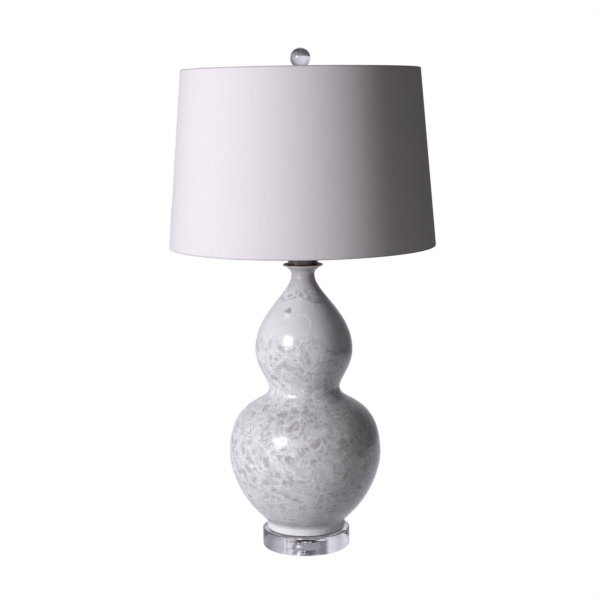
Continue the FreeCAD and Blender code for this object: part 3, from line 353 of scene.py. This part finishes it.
def glowing(tree, text, strength):
    """Light of a hex colour, given off by a surface of the studio."""
    return add(tree, "ShaderNodeEmission", {"Color": opaque(from_hex(text)),
                                            "Strength": strength}).outputs[0]


def dress(slot, finish):
    """Gives a finish to every CAD node's slot of that name, and returns it."""
    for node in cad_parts.values():
        for place in node.material_slots:
            if place.material and place.material.name.split(".")[0] == slot:
                place.material = finish
    return finish


def metal_finish(name, colour, roughness, wear, brush, tint=0.8):
    """Metal with fine brush marks and a slow change of tone; the tone darkens to tint."""
    finish, tree = new_finish(name)
    marks = grain(tree, brush[0], 3.0, brush[1])
    principled(tree, {
        "Base Color": blended(tree, grain(tree, wear, 3.0), toned(colour, tint), colour),
        "Metallic": 1.0,
        "Roughness": between(tree, marks, roughness * 0.75, roughness * 1.3),
        "Normal": bump(tree, marks, 0.15, 0.05 * MM)})
    return finish


def moulded_finish(name, colour, roughness, pebble, ior=1.5):
    """Moulded plastic, rubber or card: a fine pebble and slight changes of tone and gloss."""
    finish, tree = new_finish(name)
    cloud = grain(tree, 12 * MM, 3.0)
    principled(tree, {
        "Base Color": blended(tree, cloud, toned(colour, 0.75), toned(colour, 1.15)),
        "Roughness": between(tree, cloud, roughness * 0.85, roughness * 1.15),
        "IOR": ior,
        "Normal": bump(tree, grain(tree, pebble), 0.3, 0.08 * MM)})
    return finish


def crystalline_glaze(settings):
    """Crystalline glaze on slip-cast stoneware, fired glossy: soft taupe crystals grow in layers
    over a pale lavender ground and meet in thin whitish veins; the foot is wiped bare and matte."""
    finish, tree = new_finish("crystalline_glaze")
    size, crystal = settings.crystal_size, settings.crystal
    # heights above the table, and how ragged each limit is
    flat_foot, flat_end, flattening = 30 * MM, 130 * MM, 85 * MM
    dense_end, dense_gone, dense_ragged = 276 * MM, 312 * MM, 70 * MM
    ring_at, ring_core, ring_edge, ring_ragged = 377 * MM, 5 * MM, 12 * MM, 40 * MM
    neck_start, neck_full = 355 * MM, 385 * MM
    pale_foot, pale_end = 45 * MM, 120 * MM
    roll_shade_full, roll_shade_gone = 42 * MM, 54 * MM
    bare_end, glaze_start, foot_ragged = 38 * MM, 45 * MM, 5 * MM

    place, height = object_place(tree), object_height(tree)
    # towards the foot the crystals lie flatter, so heights are stretched there
    flatter = ramp(tree, height, flat_foot, flat_end, -flattening, 0.0)
    flatter = add(tree, "ShaderNodeCombineXYZ", {"Z": flatter}).outputs[0]
    flow = vectors(tree, "ADD", place, flatter)
    bent = pushed(tree, flow, size * 2.2, 1.0, size * 2.4)

    def petals(width, depth):
        """Round soft-edged crystals: each is dark in the middle by a tone of its own."""
        cell = add(tree, "ShaderNodeTexVoronoi", {"Vector": bent, "Scale": 1 / width,
                                                  "Smoothness": 0.25}, feature="SMOOTH_F1")
        tone = add(tree, "ShaderNodeSeparateColor", {0: cell.outputs["Color"]}).outputs[0]
        tone = ramp(tree, tone, 0.1, 0.8, depth * 0.3, depth, soft=True)
        core = ramp(tree, cell.outputs["Distance"], 0.3, 0.68, 1.0, 0.0, soft=True)
        return maths(tree, "MULTIPLY", core, tone)

    def rims(width, reach, strength):
        """Pale lines where neighbouring crystals meet."""
        edge = add(tree, "ShaderNodeTexVoronoi", {"Vector": bent, "Scale": 1 / width},
                   feature="DISTANCE_TO_EDGE").outputs["Distance"]
        return ramp(tree, edge, 0.0, reach, strength, 0.0, soft=True)

    def veins(spacing, width, strength):
        """Thin wandering lines where a field of noise passes through its middle value."""
        field = noise(tree, bent, spacing, 2.0, 0.6)["Fac"]
        return ramp(tree, apart(tree, field, 0.5), 0.0, width, strength, 0.0, soft=True)

    patch = maths(tree, "MAXIMUM", petals(size, 0.6), petals(size * 0.6, 0.45))
    seam = maths(tree, "MAXIMUM", rims(size, 0.08, 0.75), rims(size * 0.6, 0.09, 0.45))
    seam = maths(tree, "MAXIMUM", seam, veins(size * 1.2, 0.05, 1.0))
    broken = ramp(tree, grain(tree, size * 0.8, 3.0), 0.38, 0.54)
    seam = maths(tree, "MULTIPLY", seam, broken)
    # inside every crystal fine feathers run the way the glaze flowed
    feather = noise(tree, bent, size * 0.28, 2.0, 1.2)["Fac"]
    patch = maths(tree, "ADD", patch, ramp(tree, feather, 0.35, 0.65, -0.14, 0.2))
    # crystals are dense up to the middle of the upper bulb, with a ragged upper limit
    ragged = maths(tree, "MULTIPLY_ADD", grain(tree, 30 * MM, 3.0), -dense_ragged, height)
    dense = ramp(tree, ragged, dense_end, dense_gone, 1.0, 0.12, soft=True)
    # a loose ring of them grew again under the neck
    ring = maths(tree, "MULTIPLY_ADD", grain(tree, 22 * MM, 3.0), -ring_ragged, height)
    ring = ramp(tree, apart(tree, ring, ring_at), ring_core, ring_edge, 1.0, 0.0, soft=True)
    dense = maths(tree, "MAXIMUM", dense, ring)
    seam = maths(tree, "MULTIPLY", seam, dense)
    # near the foot they are paler
    patch = maths(tree, "MULTIPLY", patch, ramp(tree, height, pale_foot, pale_end, 0.6, 1.0))
    patch = maths(tree, "MULTIPLY", patch, dense)

    # single marks are only rippled, so that each stays at its place
    waver = pushed(tree, place, 6 * MM, 2.0, 7 * MM)

    def mark(middle, reach, rim=0.0):
        """One crystal or vein by itself: how near a point is to its middle, or to its rim."""
        away = apart(tree, vectors(tree, "DISTANCE", waver, middle), rim)
        return ramp(tree, away, reach * 0.4, reach, 0.9, 0.0, soft=True)

    # the curved vein is only the part of its ring that lies up and to the right
    aside = vectors(tree, "SUBTRACT", waver, settings.curl_at)
    aside = vectors(tree, "DOT_PRODUCT", aside, (0.7, 0.0, 0.7))
    aside = ramp(tree, aside, settings.curl_radius * 0.45, settings.curl_radius * 0.8)
    curl = mark(settings.curl_at, settings.curl_width, settings.curl_radius)
    curl = maths(tree, "MULTIPLY", curl, aside)
    patch = maths(tree, "MAXIMUM", patch, mark(settings.patch_at, settings.patch_radius))
    single = maths(tree, "MAXIMUM", curl, mark(settings.streak_at, settings.streak_radius))
    seam = maths(tree, "MAXIMUM", seam, single)
    # the ground is greyer where crystals grow, and on the neck, where the glaze is thin
    neck = ramp(tree, ragged, neck_start, neck_full, 0.0, 0.36, soft=True)
    under = maths(tree, "MAXIMUM", maths(tree, "MULTIPLY", dense, 0.15), neck)
    patch = maths(tree, "MAXIMUM", patch, under)
    body = blended(tree, patch, settings.ground, crystal)
    body = blended(tree, seam, body, settings.vein)
    # a few dark hairs
    rare = ramp(tree, grain(tree, 26 * MM), 0.64, 0.68)
    hair = maths(tree, "MULTIPLY", veins(size * 0.45, 0.03, 0.8), rare)
    hair = maths(tree, "MULTIPLY", hair, dense)
    body = blended(tree, hair, body, toned(crystal, 0.3))
    # the glaze gathers in a darker roll above the wiped, speckled foot, with painted shade where
    # the foot meets the belly
    wobble = maths(tree, "MULTIPLY_ADD", grain(tree, 9 * MM, 3.0), -foot_ragged, height)
    roll = ramp(tree, wobble, roll_shade_full, roll_shade_gone, 0.4, 0.0, soft=True)
    body = blended(tree, roll, body, crystal)
    speckle = ramp(tree, grain(tree, 2.2 * MM, 3.0), 0.4, 0.62)
    foot = blended(tree, speckle, toned(settings.foot, 0.88), settings.foot)
    bare = ramp(tree, wobble, bare_end, glaze_start, 1.0, 0.0, soft=True)
    relief = maths(tree, "MULTIPLY_ADD", seam, 0.3, grain(tree, 14 * MM))
    principled(tree, {
        "Base Color": blended(tree, bare, body, foot),
        "Roughness": mixed(tree, bare, between(tree, patch, 0.12, 0.18), 0.6),
        "IOR": 1.52,
        "Normal": bump(tree, relief, 0.4, 0.8 * MM)})
    return finish


def slubbed_cloth(settings):
    """Polished cotton and linen, plain weave, glued round the rings: fine upright yarns with a few
    thick ones, faint cross yarns, matte with a little sheen at the edge of view."""
    finish, tree = new_finish("slubbed_cloth")
    cut = add(tree, "ShaderNodeUVMap", uv_map="cut").outputs[0]

    def yarns(across, along):
        scale = (1 / across, 1 / along, 1)
        stretched = add(tree, "ShaderNodeMapping", {"Vector": cut, "Scale": scale}).outputs[0]
        return noise(tree, stretched, 1.0)["Fac"]

    warp = yarns(settings.yarn * 0.5, settings.yarn * 14)
    weft = yarns(settings.yarn * 9, settings.yarn * 0.5)
    # the true yarns are 0.4 mm apart, too fine to show, so the weave is drawn 1.6 mm apart
    weave = yarns(1.6 * MM, 1.9 * MM)
    yarn = mixed(tree, 0.45, mixed(tree, 0.25, warp, weft), weave)
    body = blended(tree, ramp(tree, yarn, 0.3, 0.7), toned(settings.cloth, 0.93),
                   toned(settings.cloth, 1.03))
    # painted shade: the cloth is painted darker along the folds of both hems
    fold_shade_start, fold_shade_full = 2.4 * MM, 1.2 * MM
    low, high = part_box("shade_fabric")
    middle = (low.z + high.z) / 2
    half = high.z - middle
    fold = apart(tree, object_height(tree), middle)
    fold = ramp(tree, fold, half - fold_shade_start, half - fold_shade_full, 0.0, 0.3)
    principled(tree, {
        "Base Color": blended(tree, fold, body, toned(settings.cloth, 0.2)),
        "Roughness": 0.85, "IOR": 1.5, "Specular IOR Level": 0.25,
        "Sheen Weight": 0.12, "Sheen Roughness": 0.5,
        "Normal": bump(tree, yarn, 0.35, 0.35 * MM)})
    return finish


def clear_finish(name, ior, roughness, ripple):
    """Clear, polished and colourless; a faint ripple stays from polishing."""
    finish, tree = new_finish(name)
    principled(tree, {
        "Base Color": opaque(from_hex("#ffffff")),
        "Roughness": between(tree, grain(tree, 5 * MM, 3.0), roughness * 0.5, roughness * 1.5),
        "IOR": ior,
        "Transmission Weight": 1.0,
        "Normal": bump(tree, grain(tree, 14 * MM, 1.0), 0.2, ripple)})
    return finish


# ---------------------------------------------------------------- operators


class LAMP_OT_glaze(bpy.types.Operator):
    """Give the gourd its crystalline glaze"""
    bl_idname = "gourd_lamp.glaze"
    bl_label = "Glaze the Gourd"

    def execute(self, context):
        dress("mottled_glaze", crystalline_glaze(context.scene.lamp_glaze))
        return {"FINISHED"}


class LAMP_OT_clear_base(bpy.types.Operator):
    """Build the clear base with polished, rounded edges"""
    bl_idname = "gourd_lamp.clear_base"
    bl_label = "Clear Base"

    def execute(self, context):
        settings = context.scene.lamp_clear
        low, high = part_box("acrylic_base")
        rim, top = high.x, high.z
        bore, recess, depth = settings.hole_radius, settings.recess_radius, settings.recess_depth
        edge, broken = settings.edge_round, settings.bore_round
        corners = [(bore, depth), (recess, depth), (recess, low.z), (rim, low.z), (rim, top),
                   (bore, top)]
        outline = rounded(corners, [0, 0, broken, edge, edge, broken])
        piece = lathe("clear_block", outline, turns=256)
        # cast acrylic, turned and flame polished: clear, with soft bright edges
        finish = clear_finish("polished_acrylic", 1.49, 0.01, 0.02 * MM)
        piece.data.materials.append(finish)
        dress("clear_acrylic", finish)
        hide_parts("acrylic_base")
        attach(piece, "base")
        return {"FINISHED"}


class LAMP_OT_finial(bpy.types.Operator):
    """Build the finial's clear ball"""
    bl_idname = "gourd_lamp.finial"
    bl_label = "Finial Ball"

    def execute(self, context):
        low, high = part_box("finial_ball")
        radius, middle = (high.z - low.z) / 2, (high.z + low.z) / 2
        lean = np.linspace(-math.pi / 2, math.pi / 2, 97)
        outline = np.stack([radius * np.cos(lean).clip(0), middle + radius * np.sin(lean)], 1)
        piece = lathe("crystal_ball", outline, turns=128, close=False)
        # pressed optical glass, polished: no colour, sharp highlights
        finish = clear_finish("crystal_glass", 1.52, 0.004, 0.005 * MM)
        piece.data.materials.append(finish)
        dress("clear_crystal", finish)
        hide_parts("finial_ball")
        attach(piece, "finial")
        return {"FINISHED"}


class LAMP_OT_shade(bpy.types.Operator):
    """Build the shade's cloth with its rolled hems and the lap at the back"""
    bl_idname = "gourd_lamp.shade"
    bl_label = "Shade Cloth"

    def execute(self, context):
        settings = context.scene.lamp_shade
        low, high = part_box("shade_fabric")
        height, reach, hem = high.z - low.z, settings.hem_reach, settings.hem_depth
        slope = (settings.bottom_radius - settings.top_radius) / height
        # the path over the cloth's outer side, as depth inside the shade's face and height
        fold = settings.fold_round
        corners = [(reach, hem), (reach, 0), (0, 0), (0, height), (reach, height),
                   (reach, height - hem)]
        row = 12 * MM
        path = divided(rounded(corners, [0, fold, fold, fold, fold, 0]), row)
        run = np.concatenate([[0], np.cumsum(np.linalg.norm(np.diff(path, axis=0), axis=1))])
        angle = np.linspace(0, TURN, 361) + TURN / 4
        depth, level = path[:, :1], path[:, 1:]
        # the lap: the outer end of the cloth lies on the inner one for a short way round
        middle = (settings.bottom_radius + settings.top_radius) / 2
        away = np.abs(np.mod(angle - TURN / 4 + math.pi, TURN) - math.pi) * middle
        step, rise = 1 * MM, 0.6 * settings.thickness
        lap = np.clip((settings.lap_width / 2 - away) / step, 0, 1) * rise
        outer = np.clip(1 - depth / fold, 0, 1)
        radius = settings.bottom_radius - slope * level - depth + outer * lap[None]
        grid = turned(radius, low.z + level, angle[None])
        chart = np.stack(np.broadcast_arrays(((angle - TURN / 4) * middle)[None], run[:, None]), -1)
        # three notches in the upper hem let the fitter's arms through
        inner = np.minimum(path[:-1, 0], path[1:, 0]) > reach - fold
        inner = inner & (path[:-1, 1] > height / 2)
        centre = (angle[:-1] + angle[1:]) / 2
        arms = np.mod(centre - TURN / 4 + TURN / 6, TURN / 3) - TURN / 6
        near = np.abs(arms) * settings.top_radius < settings.arm_notch / 2
        keep = ~(inner[:, None] & near[None])
        piece = skin("shade_cloth", grid, keep, chart)
        wall = piece.modifiers.new("cloth_thickness", "SOLIDIFY")
        wall.thickness = settings.thickness
        wall.offset = -1
        piece.data.materials.append(dress("shade_fabric", slubbed_cloth(settings)))
        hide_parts("shade_fabric")
        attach(piece, "shade")
        # the flat cut of a tapered drum is a part of a ring
        # white styrene film, laminated to the cloth: smooth, satin, faintly cloudy
        film = moulded_finish("styrene_film", from_hex("#ebe8f9"), 0.45, 1.5 * MM, 1.55)
        dress("shade_lining", film)
        # steel wire, powder coated white: slightly pebbled and glossy
        coat = moulded_finish("white_powder_coat", from_hex("#e6e5e1"), 0.35, 0.8 * MM)
        dress("frame_wire", coat)
        return {"FINISHED"}


class LAMP_OT_switch_knob(bpy.types.Operator):
    """Build the ribbed switch knob"""
    bl_idname = "gourd_lamp.switch_knob"
    bl_label = "Switch Knob"

    def execute(self, context):
        settings = context.scene.lamp_hardware
        low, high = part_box("switch_knob")
        radius, axis = (high.x - low.x) / 2, (high.z + low.z) / 2
        span = high.y - low.y
        bore, grip, nose, heel = 2.46 * MM, 15 * MM, 1.2 * MM, 0.4 * MM
        row, skin_depth, plain_end, fade = 1.5 * MM, 0.3 * MM, 2 * MM, 1 * MM
        corners = [(bore, 0), (radius, 0), (radius, span), (0, span), (0, grip), (bore, grip)]
        outline = rounded(corners, [0, heel, nose, 0, 0, 0])
        outline = divided(np.concatenate([outline, outline[:1]]), row)
        angle = np.linspace(0, TURN, settings.knob_ribs * 12 + 1)
        # grooves fade out before both ends: depth = d cos^2(n a / 2) over the straight side
        side = np.clip((outline[:, :1] - radius + skin_depth) / skin_depth, 0, 1)
        side = side * np.clip((outline[:, 1:] - plain_end) / fade, 0, 1)
        side = side * np.clip((span - plain_end - outline[:, 1:]) / fade, 0, 1)
        groove = settings.rib_depth * np.cos(settings.knob_ribs * angle[None] / 2) ** 2
        ring = outline[:, :1] - side * groove
        grid = np.stack([ring * np.cos(angle), high.y - outline[:, 1:] + 0 * ring,
                         axis + ring * np.sin(angle)], -1)
        piece = skin("ribbed_knob", grid)
        # moulded ABS, satin black
        finish = moulded_finish("black_abs", from_hex("#1d1b1a"), 0.32, 0.7 * MM)
        piece.data.materials.append(dress("black_plastic", finish))
        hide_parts("switch_knob")
        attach(piece, "knob")
        return {"FINISHED"}


class LAMP_OT_bulb(bpy.types.Operator):
    """Build the bulb's threaded base and give the bulb its finishes"""
    bl_idname = "gourd_lamp.bulb"
    bl_label = "Light Bulb"

    def execute(self, context):
        settings = context.scene.lamp_hardware
        low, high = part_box("bulb_screw_base")
        rim, nose, wall, row = high.x, 9.4 * MM, 0.5 * MM, 0.3 * MM
        fade, plain_end, relief = 2 * MM, 3 * MM, 0.5
        step = rim - nose
        outline = np.array([(0, low.z), (nose, low.z), (rim, low.z + step), (rim, high.z),
                            (rim - wall, high.z), (rim - wall, low.z + step + wall),
                            (nose, low.z + wall), (0, low.z + wall)])
        outline = divided(outline, row)
        angle = np.linspace(0, TURN, 97)
        # rolled thread: r = R - d/4 (1 - cos(2 pi z / p - a)), fading out at both ends
        z = outline[:, 1:]
        rise = np.clip((z - low.z - step) / fade, 0, 1)
        rise = rise * np.clip((high.z - plain_end - z) / fade, 0, 1)
        outside = np.clip((outline[:, :1] - rim + wall) / wall, 0, 1)
        wave = 1 - np.cos(TURN * z / settings.thread_pitch - angle[None])
        ring = outline[:, :1] - outside * rise * wave * settings.thread_depth / 2 * relief
        piece = skin("threaded_bulb_base", turned(ring, z, angle[None]))
        # drawn and rolled aluminium: bright, slightly cloudy
        finish = metal_finish("rolled_aluminium", from_hex("#d4d3d0"), 0.3, 6 * MM,
                              (0.6 * MM, (1, 1, 8)))
        piece.data.materials.append(dress("bulb_aluminium", finish))
        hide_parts("bulb_screw_base")
        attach(piece, "bulb")
        # black insulating glass round the tip
        insulator = moulded_finish("black_insulating_glass", from_hex("#141216"), 0.12, 2 * MM)
        dress("black_glass", insulator)
        dress("frosted_glass", self.etched_glass())
        return {"FINISHED"}

    def etched_glass(self):
        """Blown glass, etched inside: white, softly see-through, with a smooth outer gloss."""
        finish, tree = new_finish("etched_glass")
        cloud = grain(tree, 20 * MM, 2.0)
        principled(tree, {
            "Base Color": blended(tree, cloud, from_hex("#eceae4"), from_hex("#fbfaf7")),
            "Roughness": between(tree, cloud, 0.22, 0.3),
            "IOR": 1.5, "Transmission Weight": 0.35, "Coat Weight": 0.6, "Coat Roughness": 0.05})
        return finish


class LAMP_OT_metalwork(bpy.types.Operator):
    """Give the cap, collar, harp, lampholder and small parts their finishes"""
    bl_idname = "gourd_lamp.metalwork"
    bl_label = "Metalwork"

    def execute(self, context):
        settings = context.scene.lamp_hardware
        bronze, brass = list(settings.bronze), list(settings.brass)
        # spun steel, plated and oiled to dark bronze: brown, painted with streaky reflections and a
        # pale rim sheen
        dress("dark_bronze", self.oiled_bronze(settings))
        # bent wire and strap in the same plating, a little duller
        finish = metal_finish("bronzed_wire", bronze, 0.36, 14 * MM, (0.8 * MM, (1, 1, 0.2)), 0.6)
        dress("harp_bronze", finish)
        # drawn shell, brass plated and lacquered
        finish = metal_finish("lacquered_brass", brass, 0.22, 10 * MM, (0.8 * MM, (1, 1, 10)))
        dress("socket_brass", finish)
        # plain stamped and turned brass
        finish = metal_finish("bare_brass", brass, 0.3, 5 * MM, (0.5 * MM, (1, 1, 1)))
        dress("contact_brass", finish)
        dress("zinc_steel", self.threaded_zinc())
        # moulded rubber: dark brown, dull
        finish = moulded_finish("moulded_rubber", from_hex("#5c5048"), 0.7, 0.9 * MM, 1.52)
        dress("dark_rubber", finish)
        # pressed fibre card: grey-brown, dull and slightly mottled
        finish = moulded_finish("pressed_card", from_hex("#8d8478"), 0.8, 1.2 * MM, 1.47)
        dress("liner_card", finish)
        # moulded phenolic resin: brown-black, semi-gloss
        finish = moulded_finish("moulded_phenolic", from_hex("#2a1f1a"), 0.4, 0.9 * MM, 1.6)
        dress("phenolic", finish)
        return {"FINISHED"}

    def oiled_bronze(self, settings):
        """Plating of the cap and collar: painted reflections as upright streaks, painted sheen on
        the rim.
        """
        finish, tree = new_finish("oiled_bronze")
        sheen_start, sheen_full = 23.5 * MM, 28.0 * MM
        flat = vectors(tree, "MULTIPLY", object_place(tree), (1, 1, 0))
        # painted sheen: the cap's rim is painted pale, in place of a reflection
        painted_rim_sheen = ramp(tree, vectors(tree, "LENGTH", flat), sheen_start, sheen_full, 0.0, 0.95)
        # painted reflection: dark and light upright streaks in the plating's colour
        streak = ramp(tree, grain(tree, 3.2 * MM, 2.0, (1, 1, 0.03)), 0.36, 0.62)
        marks = grain(tree, 0.7 * MM, 3.0, (1, 1, 12))
        tone = blended(tree, streak, toned(settings.bronze, 0.4), toned(settings.bronze, 1.25))
        principled(tree, {
            "Base Color": blended(tree, painted_rim_sheen, tone, settings.painted_rim_sheen),
            "Metallic": 1.0,
            "Roughness": between(tree, marks, 0.26, 0.42),
            "Normal": bump(tree, marks, 0.15, 0.05 * MM)})
        return finish

    def threaded_zinc(self):
        """Zinc-plated steel, cut thread: cool grey with cloudy plating. The true turns are 0.94 mm
        apart, too fine to show, so their rings are drawn twice as far apart."""
        finish, tree = new_finish("plated_zinc")
        spacing = 2 * 0.94 * MM
        # a wave texture at scale 1 has 20 / (2 pi) bands to the metre
        rings = add(tree, "ShaderNodeTexWave", {"Vector": object_place(tree),
                                                "Scale": TURN / 20 / spacing},
                    bands_direction="Z", wave_profile="TRI").outputs["Fac"]
        cloud = grain(tree, 4 * MM, 3.0)
        principled(tree, {
            "Base Color": blended(tree, cloud, from_hex("#8f9194"), from_hex("#c2c4c6")),
            "Metallic": 1.0,
            "Roughness": between(tree, cloud, 0.3, 0.5),
            "Normal": bump(tree, rings, 0.6, 0.3 * MM)})
        return finish


# each light's place, its width and height, the setting of its power, and the rays besides the
# camera's that don't see it
LIGHTS = {
    "key_softbox": ((-1.2, -1.48, 1.02), (0.8, 0.75), "key_power", ("diffuse",)),
    "side_window": ((-1.86, -1.5, 0.85), (0.7, 0.9), "side_power", ("glossy",)),
    "front_card": ((0.0, -2.0, 0.25), (0.8, 0.5), "card_power", ("glossy",)),
    "back_card": ((0.0, 2.3, 0.9), (1.0, 1.0), "back_power", ("glossy", "transmission")),
}
LIGHTS_AIM = (0, 0, 0.4)


class LAMP_OT_studio(bpy.types.Operator):
    """Set up the pale floor, the soft lights and the camera"""
    bl_idname = "gourd_lamp.studio"
    bl_label = "Studio"

    def execute(self, context):
        settings = context.scene.lamp_studio
        context.scene.view_settings.view_transform = "Standard"
        self.sweep()
        self.walls()
        self.bounce(settings.bounce)
        room = bpy.data.worlds.new("dim_room")
        room.use_nodes = True
        air = room.node_tree.nodes["Background"].inputs
        air["Color"].default_value = opaque(from_hex("#fff6f0"))
        air["Strength"].default_value = settings.fill
        context.scene.world = room
        for name, (place, size, setting, unseen) in LIGHTS.items():
            self.soft_light(name, place, size, getattr(settings, setting), unseen)
        camera = bpy.data.objects.new("camera", bpy.data.cameras.new("camera"))
        context.scene.collection.objects.link(camera)
        camera.data.lens = settings.camera_lens
        camera.data.sensor_width = 36.0
        camera.location = (-settings.camera_aside, -settings.camera_back, settings.camera_height)
        aim = Euler((math.pi / 2 - settings.camera_pitch, 0, 0)).to_quaternion()
        camera.rotation_mode = "QUATERNION"
        camera.rotation_quaternion = aim @ Quaternion((0, 0, 1), -settings.camera_roll)
        context.scene.camera = camera
        return {"FINISHED"}

    def hide(self, piece, *rays):
        """Makes a piece unseen by the camera or by a kind of ray."""
        for ray in rays:
            setattr(piece, "visible_" + ray, False)

    def room_surface(self, name, drop):
        """A round floor that curves up into a wall: r grows to the bend, then the profile turns
        through a quarter circle and rises."""
        level, turn, top = 4, 1, 6
        bend = np.linspace(0, math.pi / 2, 13)
        curve = np.stack([level + turn * np.sin(bend), turn - turn * np.cos(bend)], 1)
        outline = np.concatenate([[(0, 0)], curve, [(level + turn, top)]])
        around = np.linspace(0, TURN, 97)[None]
        piece = skin(name, turned(outline[:, :1], outline[:, 1:] - drop, around)[::-1])
        self.hide(piece, "diffuse", "shadow")
        return piece

    def sweep(self):
        """The pale floor and backdrop, lit evenly and seen as plain white."""
        floor = self.room_surface("pale_sweep", 0.4 * MM)
        finish, tree = new_finish("pale_paper")
        below = add(tree, "ShaderNodeNewGeometry").outputs["Backfacing"]
        see_through = add(tree, "ShaderNodeBsdfTransparent").outputs[0]
        close_finish(tree, add(tree, "ShaderNodeMixShader", {
            0: below, 1: glowing(tree, "#ffffff", 1.0), 2: see_through}).outputs[0])
        floor.data.materials.append(finish)
        self.hide(floor, "glossy", "transmission")

    def walls(self):
        """The same room as gloss and clear pieces see it: palest behind the camera, pale behind
        the lamp and on the left, dim on the right, with the shadow under the base."""
        walls = self.room_surface("dim_walls", 0.5 * MM)
        finish, tree = new_finish("dim_paper")
        place = object_place(tree)
        far = vectors(tree, "LENGTH", place)
        way = vectors(tree, "NORMALIZE", place)
        way = add(tree, "ShaderNodeSeparateXYZ", {"Vector": way}).outputs
        behind = ramp(tree, way["Y"], 0.6, 0.97, 0.0, 0.42, soft=True)
        left = ramp(tree, way["X"], 0.3, -0.4, 0.2, 0.42, soft=True)
        far_left = ramp(tree, way["X"], -0.55, -0.8, 0.0, 0.35, soft=True)
        front = ramp(tree, way["Y"], -0.3, -0.9, 0.0, 0.5, soft=True)
        light = maths(tree, "ADD", behind, left)
        light = maths(tree, "ADD", light, front)
        light = maths(tree, "ADD", light, far_left)
        # the floor: the base's shadow, then paper that fades into the walls
        shadow_start, shadow_end, paper_start, paper_end = 0.03, 0.09, 0.5, 2.0
        near = ramp(tree, far, shadow_start, shadow_end, 0.3, 0.9, soft=True)
        floor = ramp(tree, far, paper_start, paper_end, 1.0, 0.0, soft=True)
        close_finish(tree, glowing(tree, "#f1edfa", mixed(tree, floor, light, near)))
        walls.data.materials.append(finish)
        self.hide(walls, "camera")

    def bounce(self, strength):
        """What the floor sends back: a dim disc that only the lamp's matte surfaces see."""
        radius, drop = 0.6, 1 * MM
        outline = np.array([(0, -drop), (radius, -drop)])
        around = np.linspace(0, TURN, 49)[None]
        disc = skin("floor_bounce", turned(outline[:, :1], outline[:, 1:], around)[::-1])
        finish, tree = new_finish("soft_bounce")
        close_finish(tree, glowing(tree, "#fffdfb", strength))
        disc.data.materials.append(finish)
        self.hide(disc, "camera", "glossy", "transmission", "shadow")

    def soft_light(self, name, place, size, watts, unseen):
        light = bpy.data.lights.new(name, "AREA")
        light.shape = "RECTANGLE"
        light.size, light.size_y = size
        light.energy = watts
        lamp = bpy.data.objects.new(name, light)
        bpy.context.scene.collection.objects.link(lamp)
        lamp.location = place
        lamp.rotation_mode = "QUATERNION"
        lamp.rotation_quaternion = (Vector(LIGHTS_AIM) - Vector(place)).to_track_quat("-Z", "Y")
        self.hide(lamp, "camera", *unseen)


class LAMP_PT_panel(bpy.types.Panel):
    """Pieces and finishes of the gourd lamp"""
    bl_idname = "LAMP_PT_panel"
    bl_label = "Gourd Lamp"
    bl_space_type = "VIEW_3D"
    bl_region_type = "UI"
    bl_category = "Gourd Lamp"

    def draw(self, context):
        for operator in OPERATORS:
            self.layout.operator(operator.bl_idname)
        for name in SETTINGS:
            box = self.layout.box()
            group = getattr(context.scene, name)
            for key in group.__annotations__:
                box.prop(group, key)


SETTINGS = {
    "lamp_studio": StudioSettings,
    "lamp_glaze": GlazeSettings,
    "lamp_shade": ShadeSettings,
    "lamp_clear": ClearSettings,
    "lamp_hardware": HardwareSettings,
}
OPERATORS = (LAMP_OT_glaze, LAMP_OT_clear_base, LAMP_OT_finial, LAMP_OT_shade,
             LAMP_OT_switch_knob, LAMP_OT_bulb, LAMP_OT_metalwork, LAMP_OT_studio)


def register():
    for one in (*SETTINGS.values(), *OPERATORS, LAMP_PT_panel):
        bpy.utils.register_class(one)
    for name, group in SETTINGS.items():
        setattr(bpy.types.Scene, name, PointerProperty(type=group))


def unregister():
    for name in SETTINGS:
        delattr(bpy.types.Scene, name)
    for one in reversed((*SETTINGS.values(), *OPERATORS, LAMP_PT_panel)):
        bpy.utils.unregister_class(one)


def main():
    register()
    for operator in OPERATORS:
        getattr(bpy.ops.gourd_lamp, operator.bl_idname.split(".")[1])()


if __name__ == "__main__":
    main()
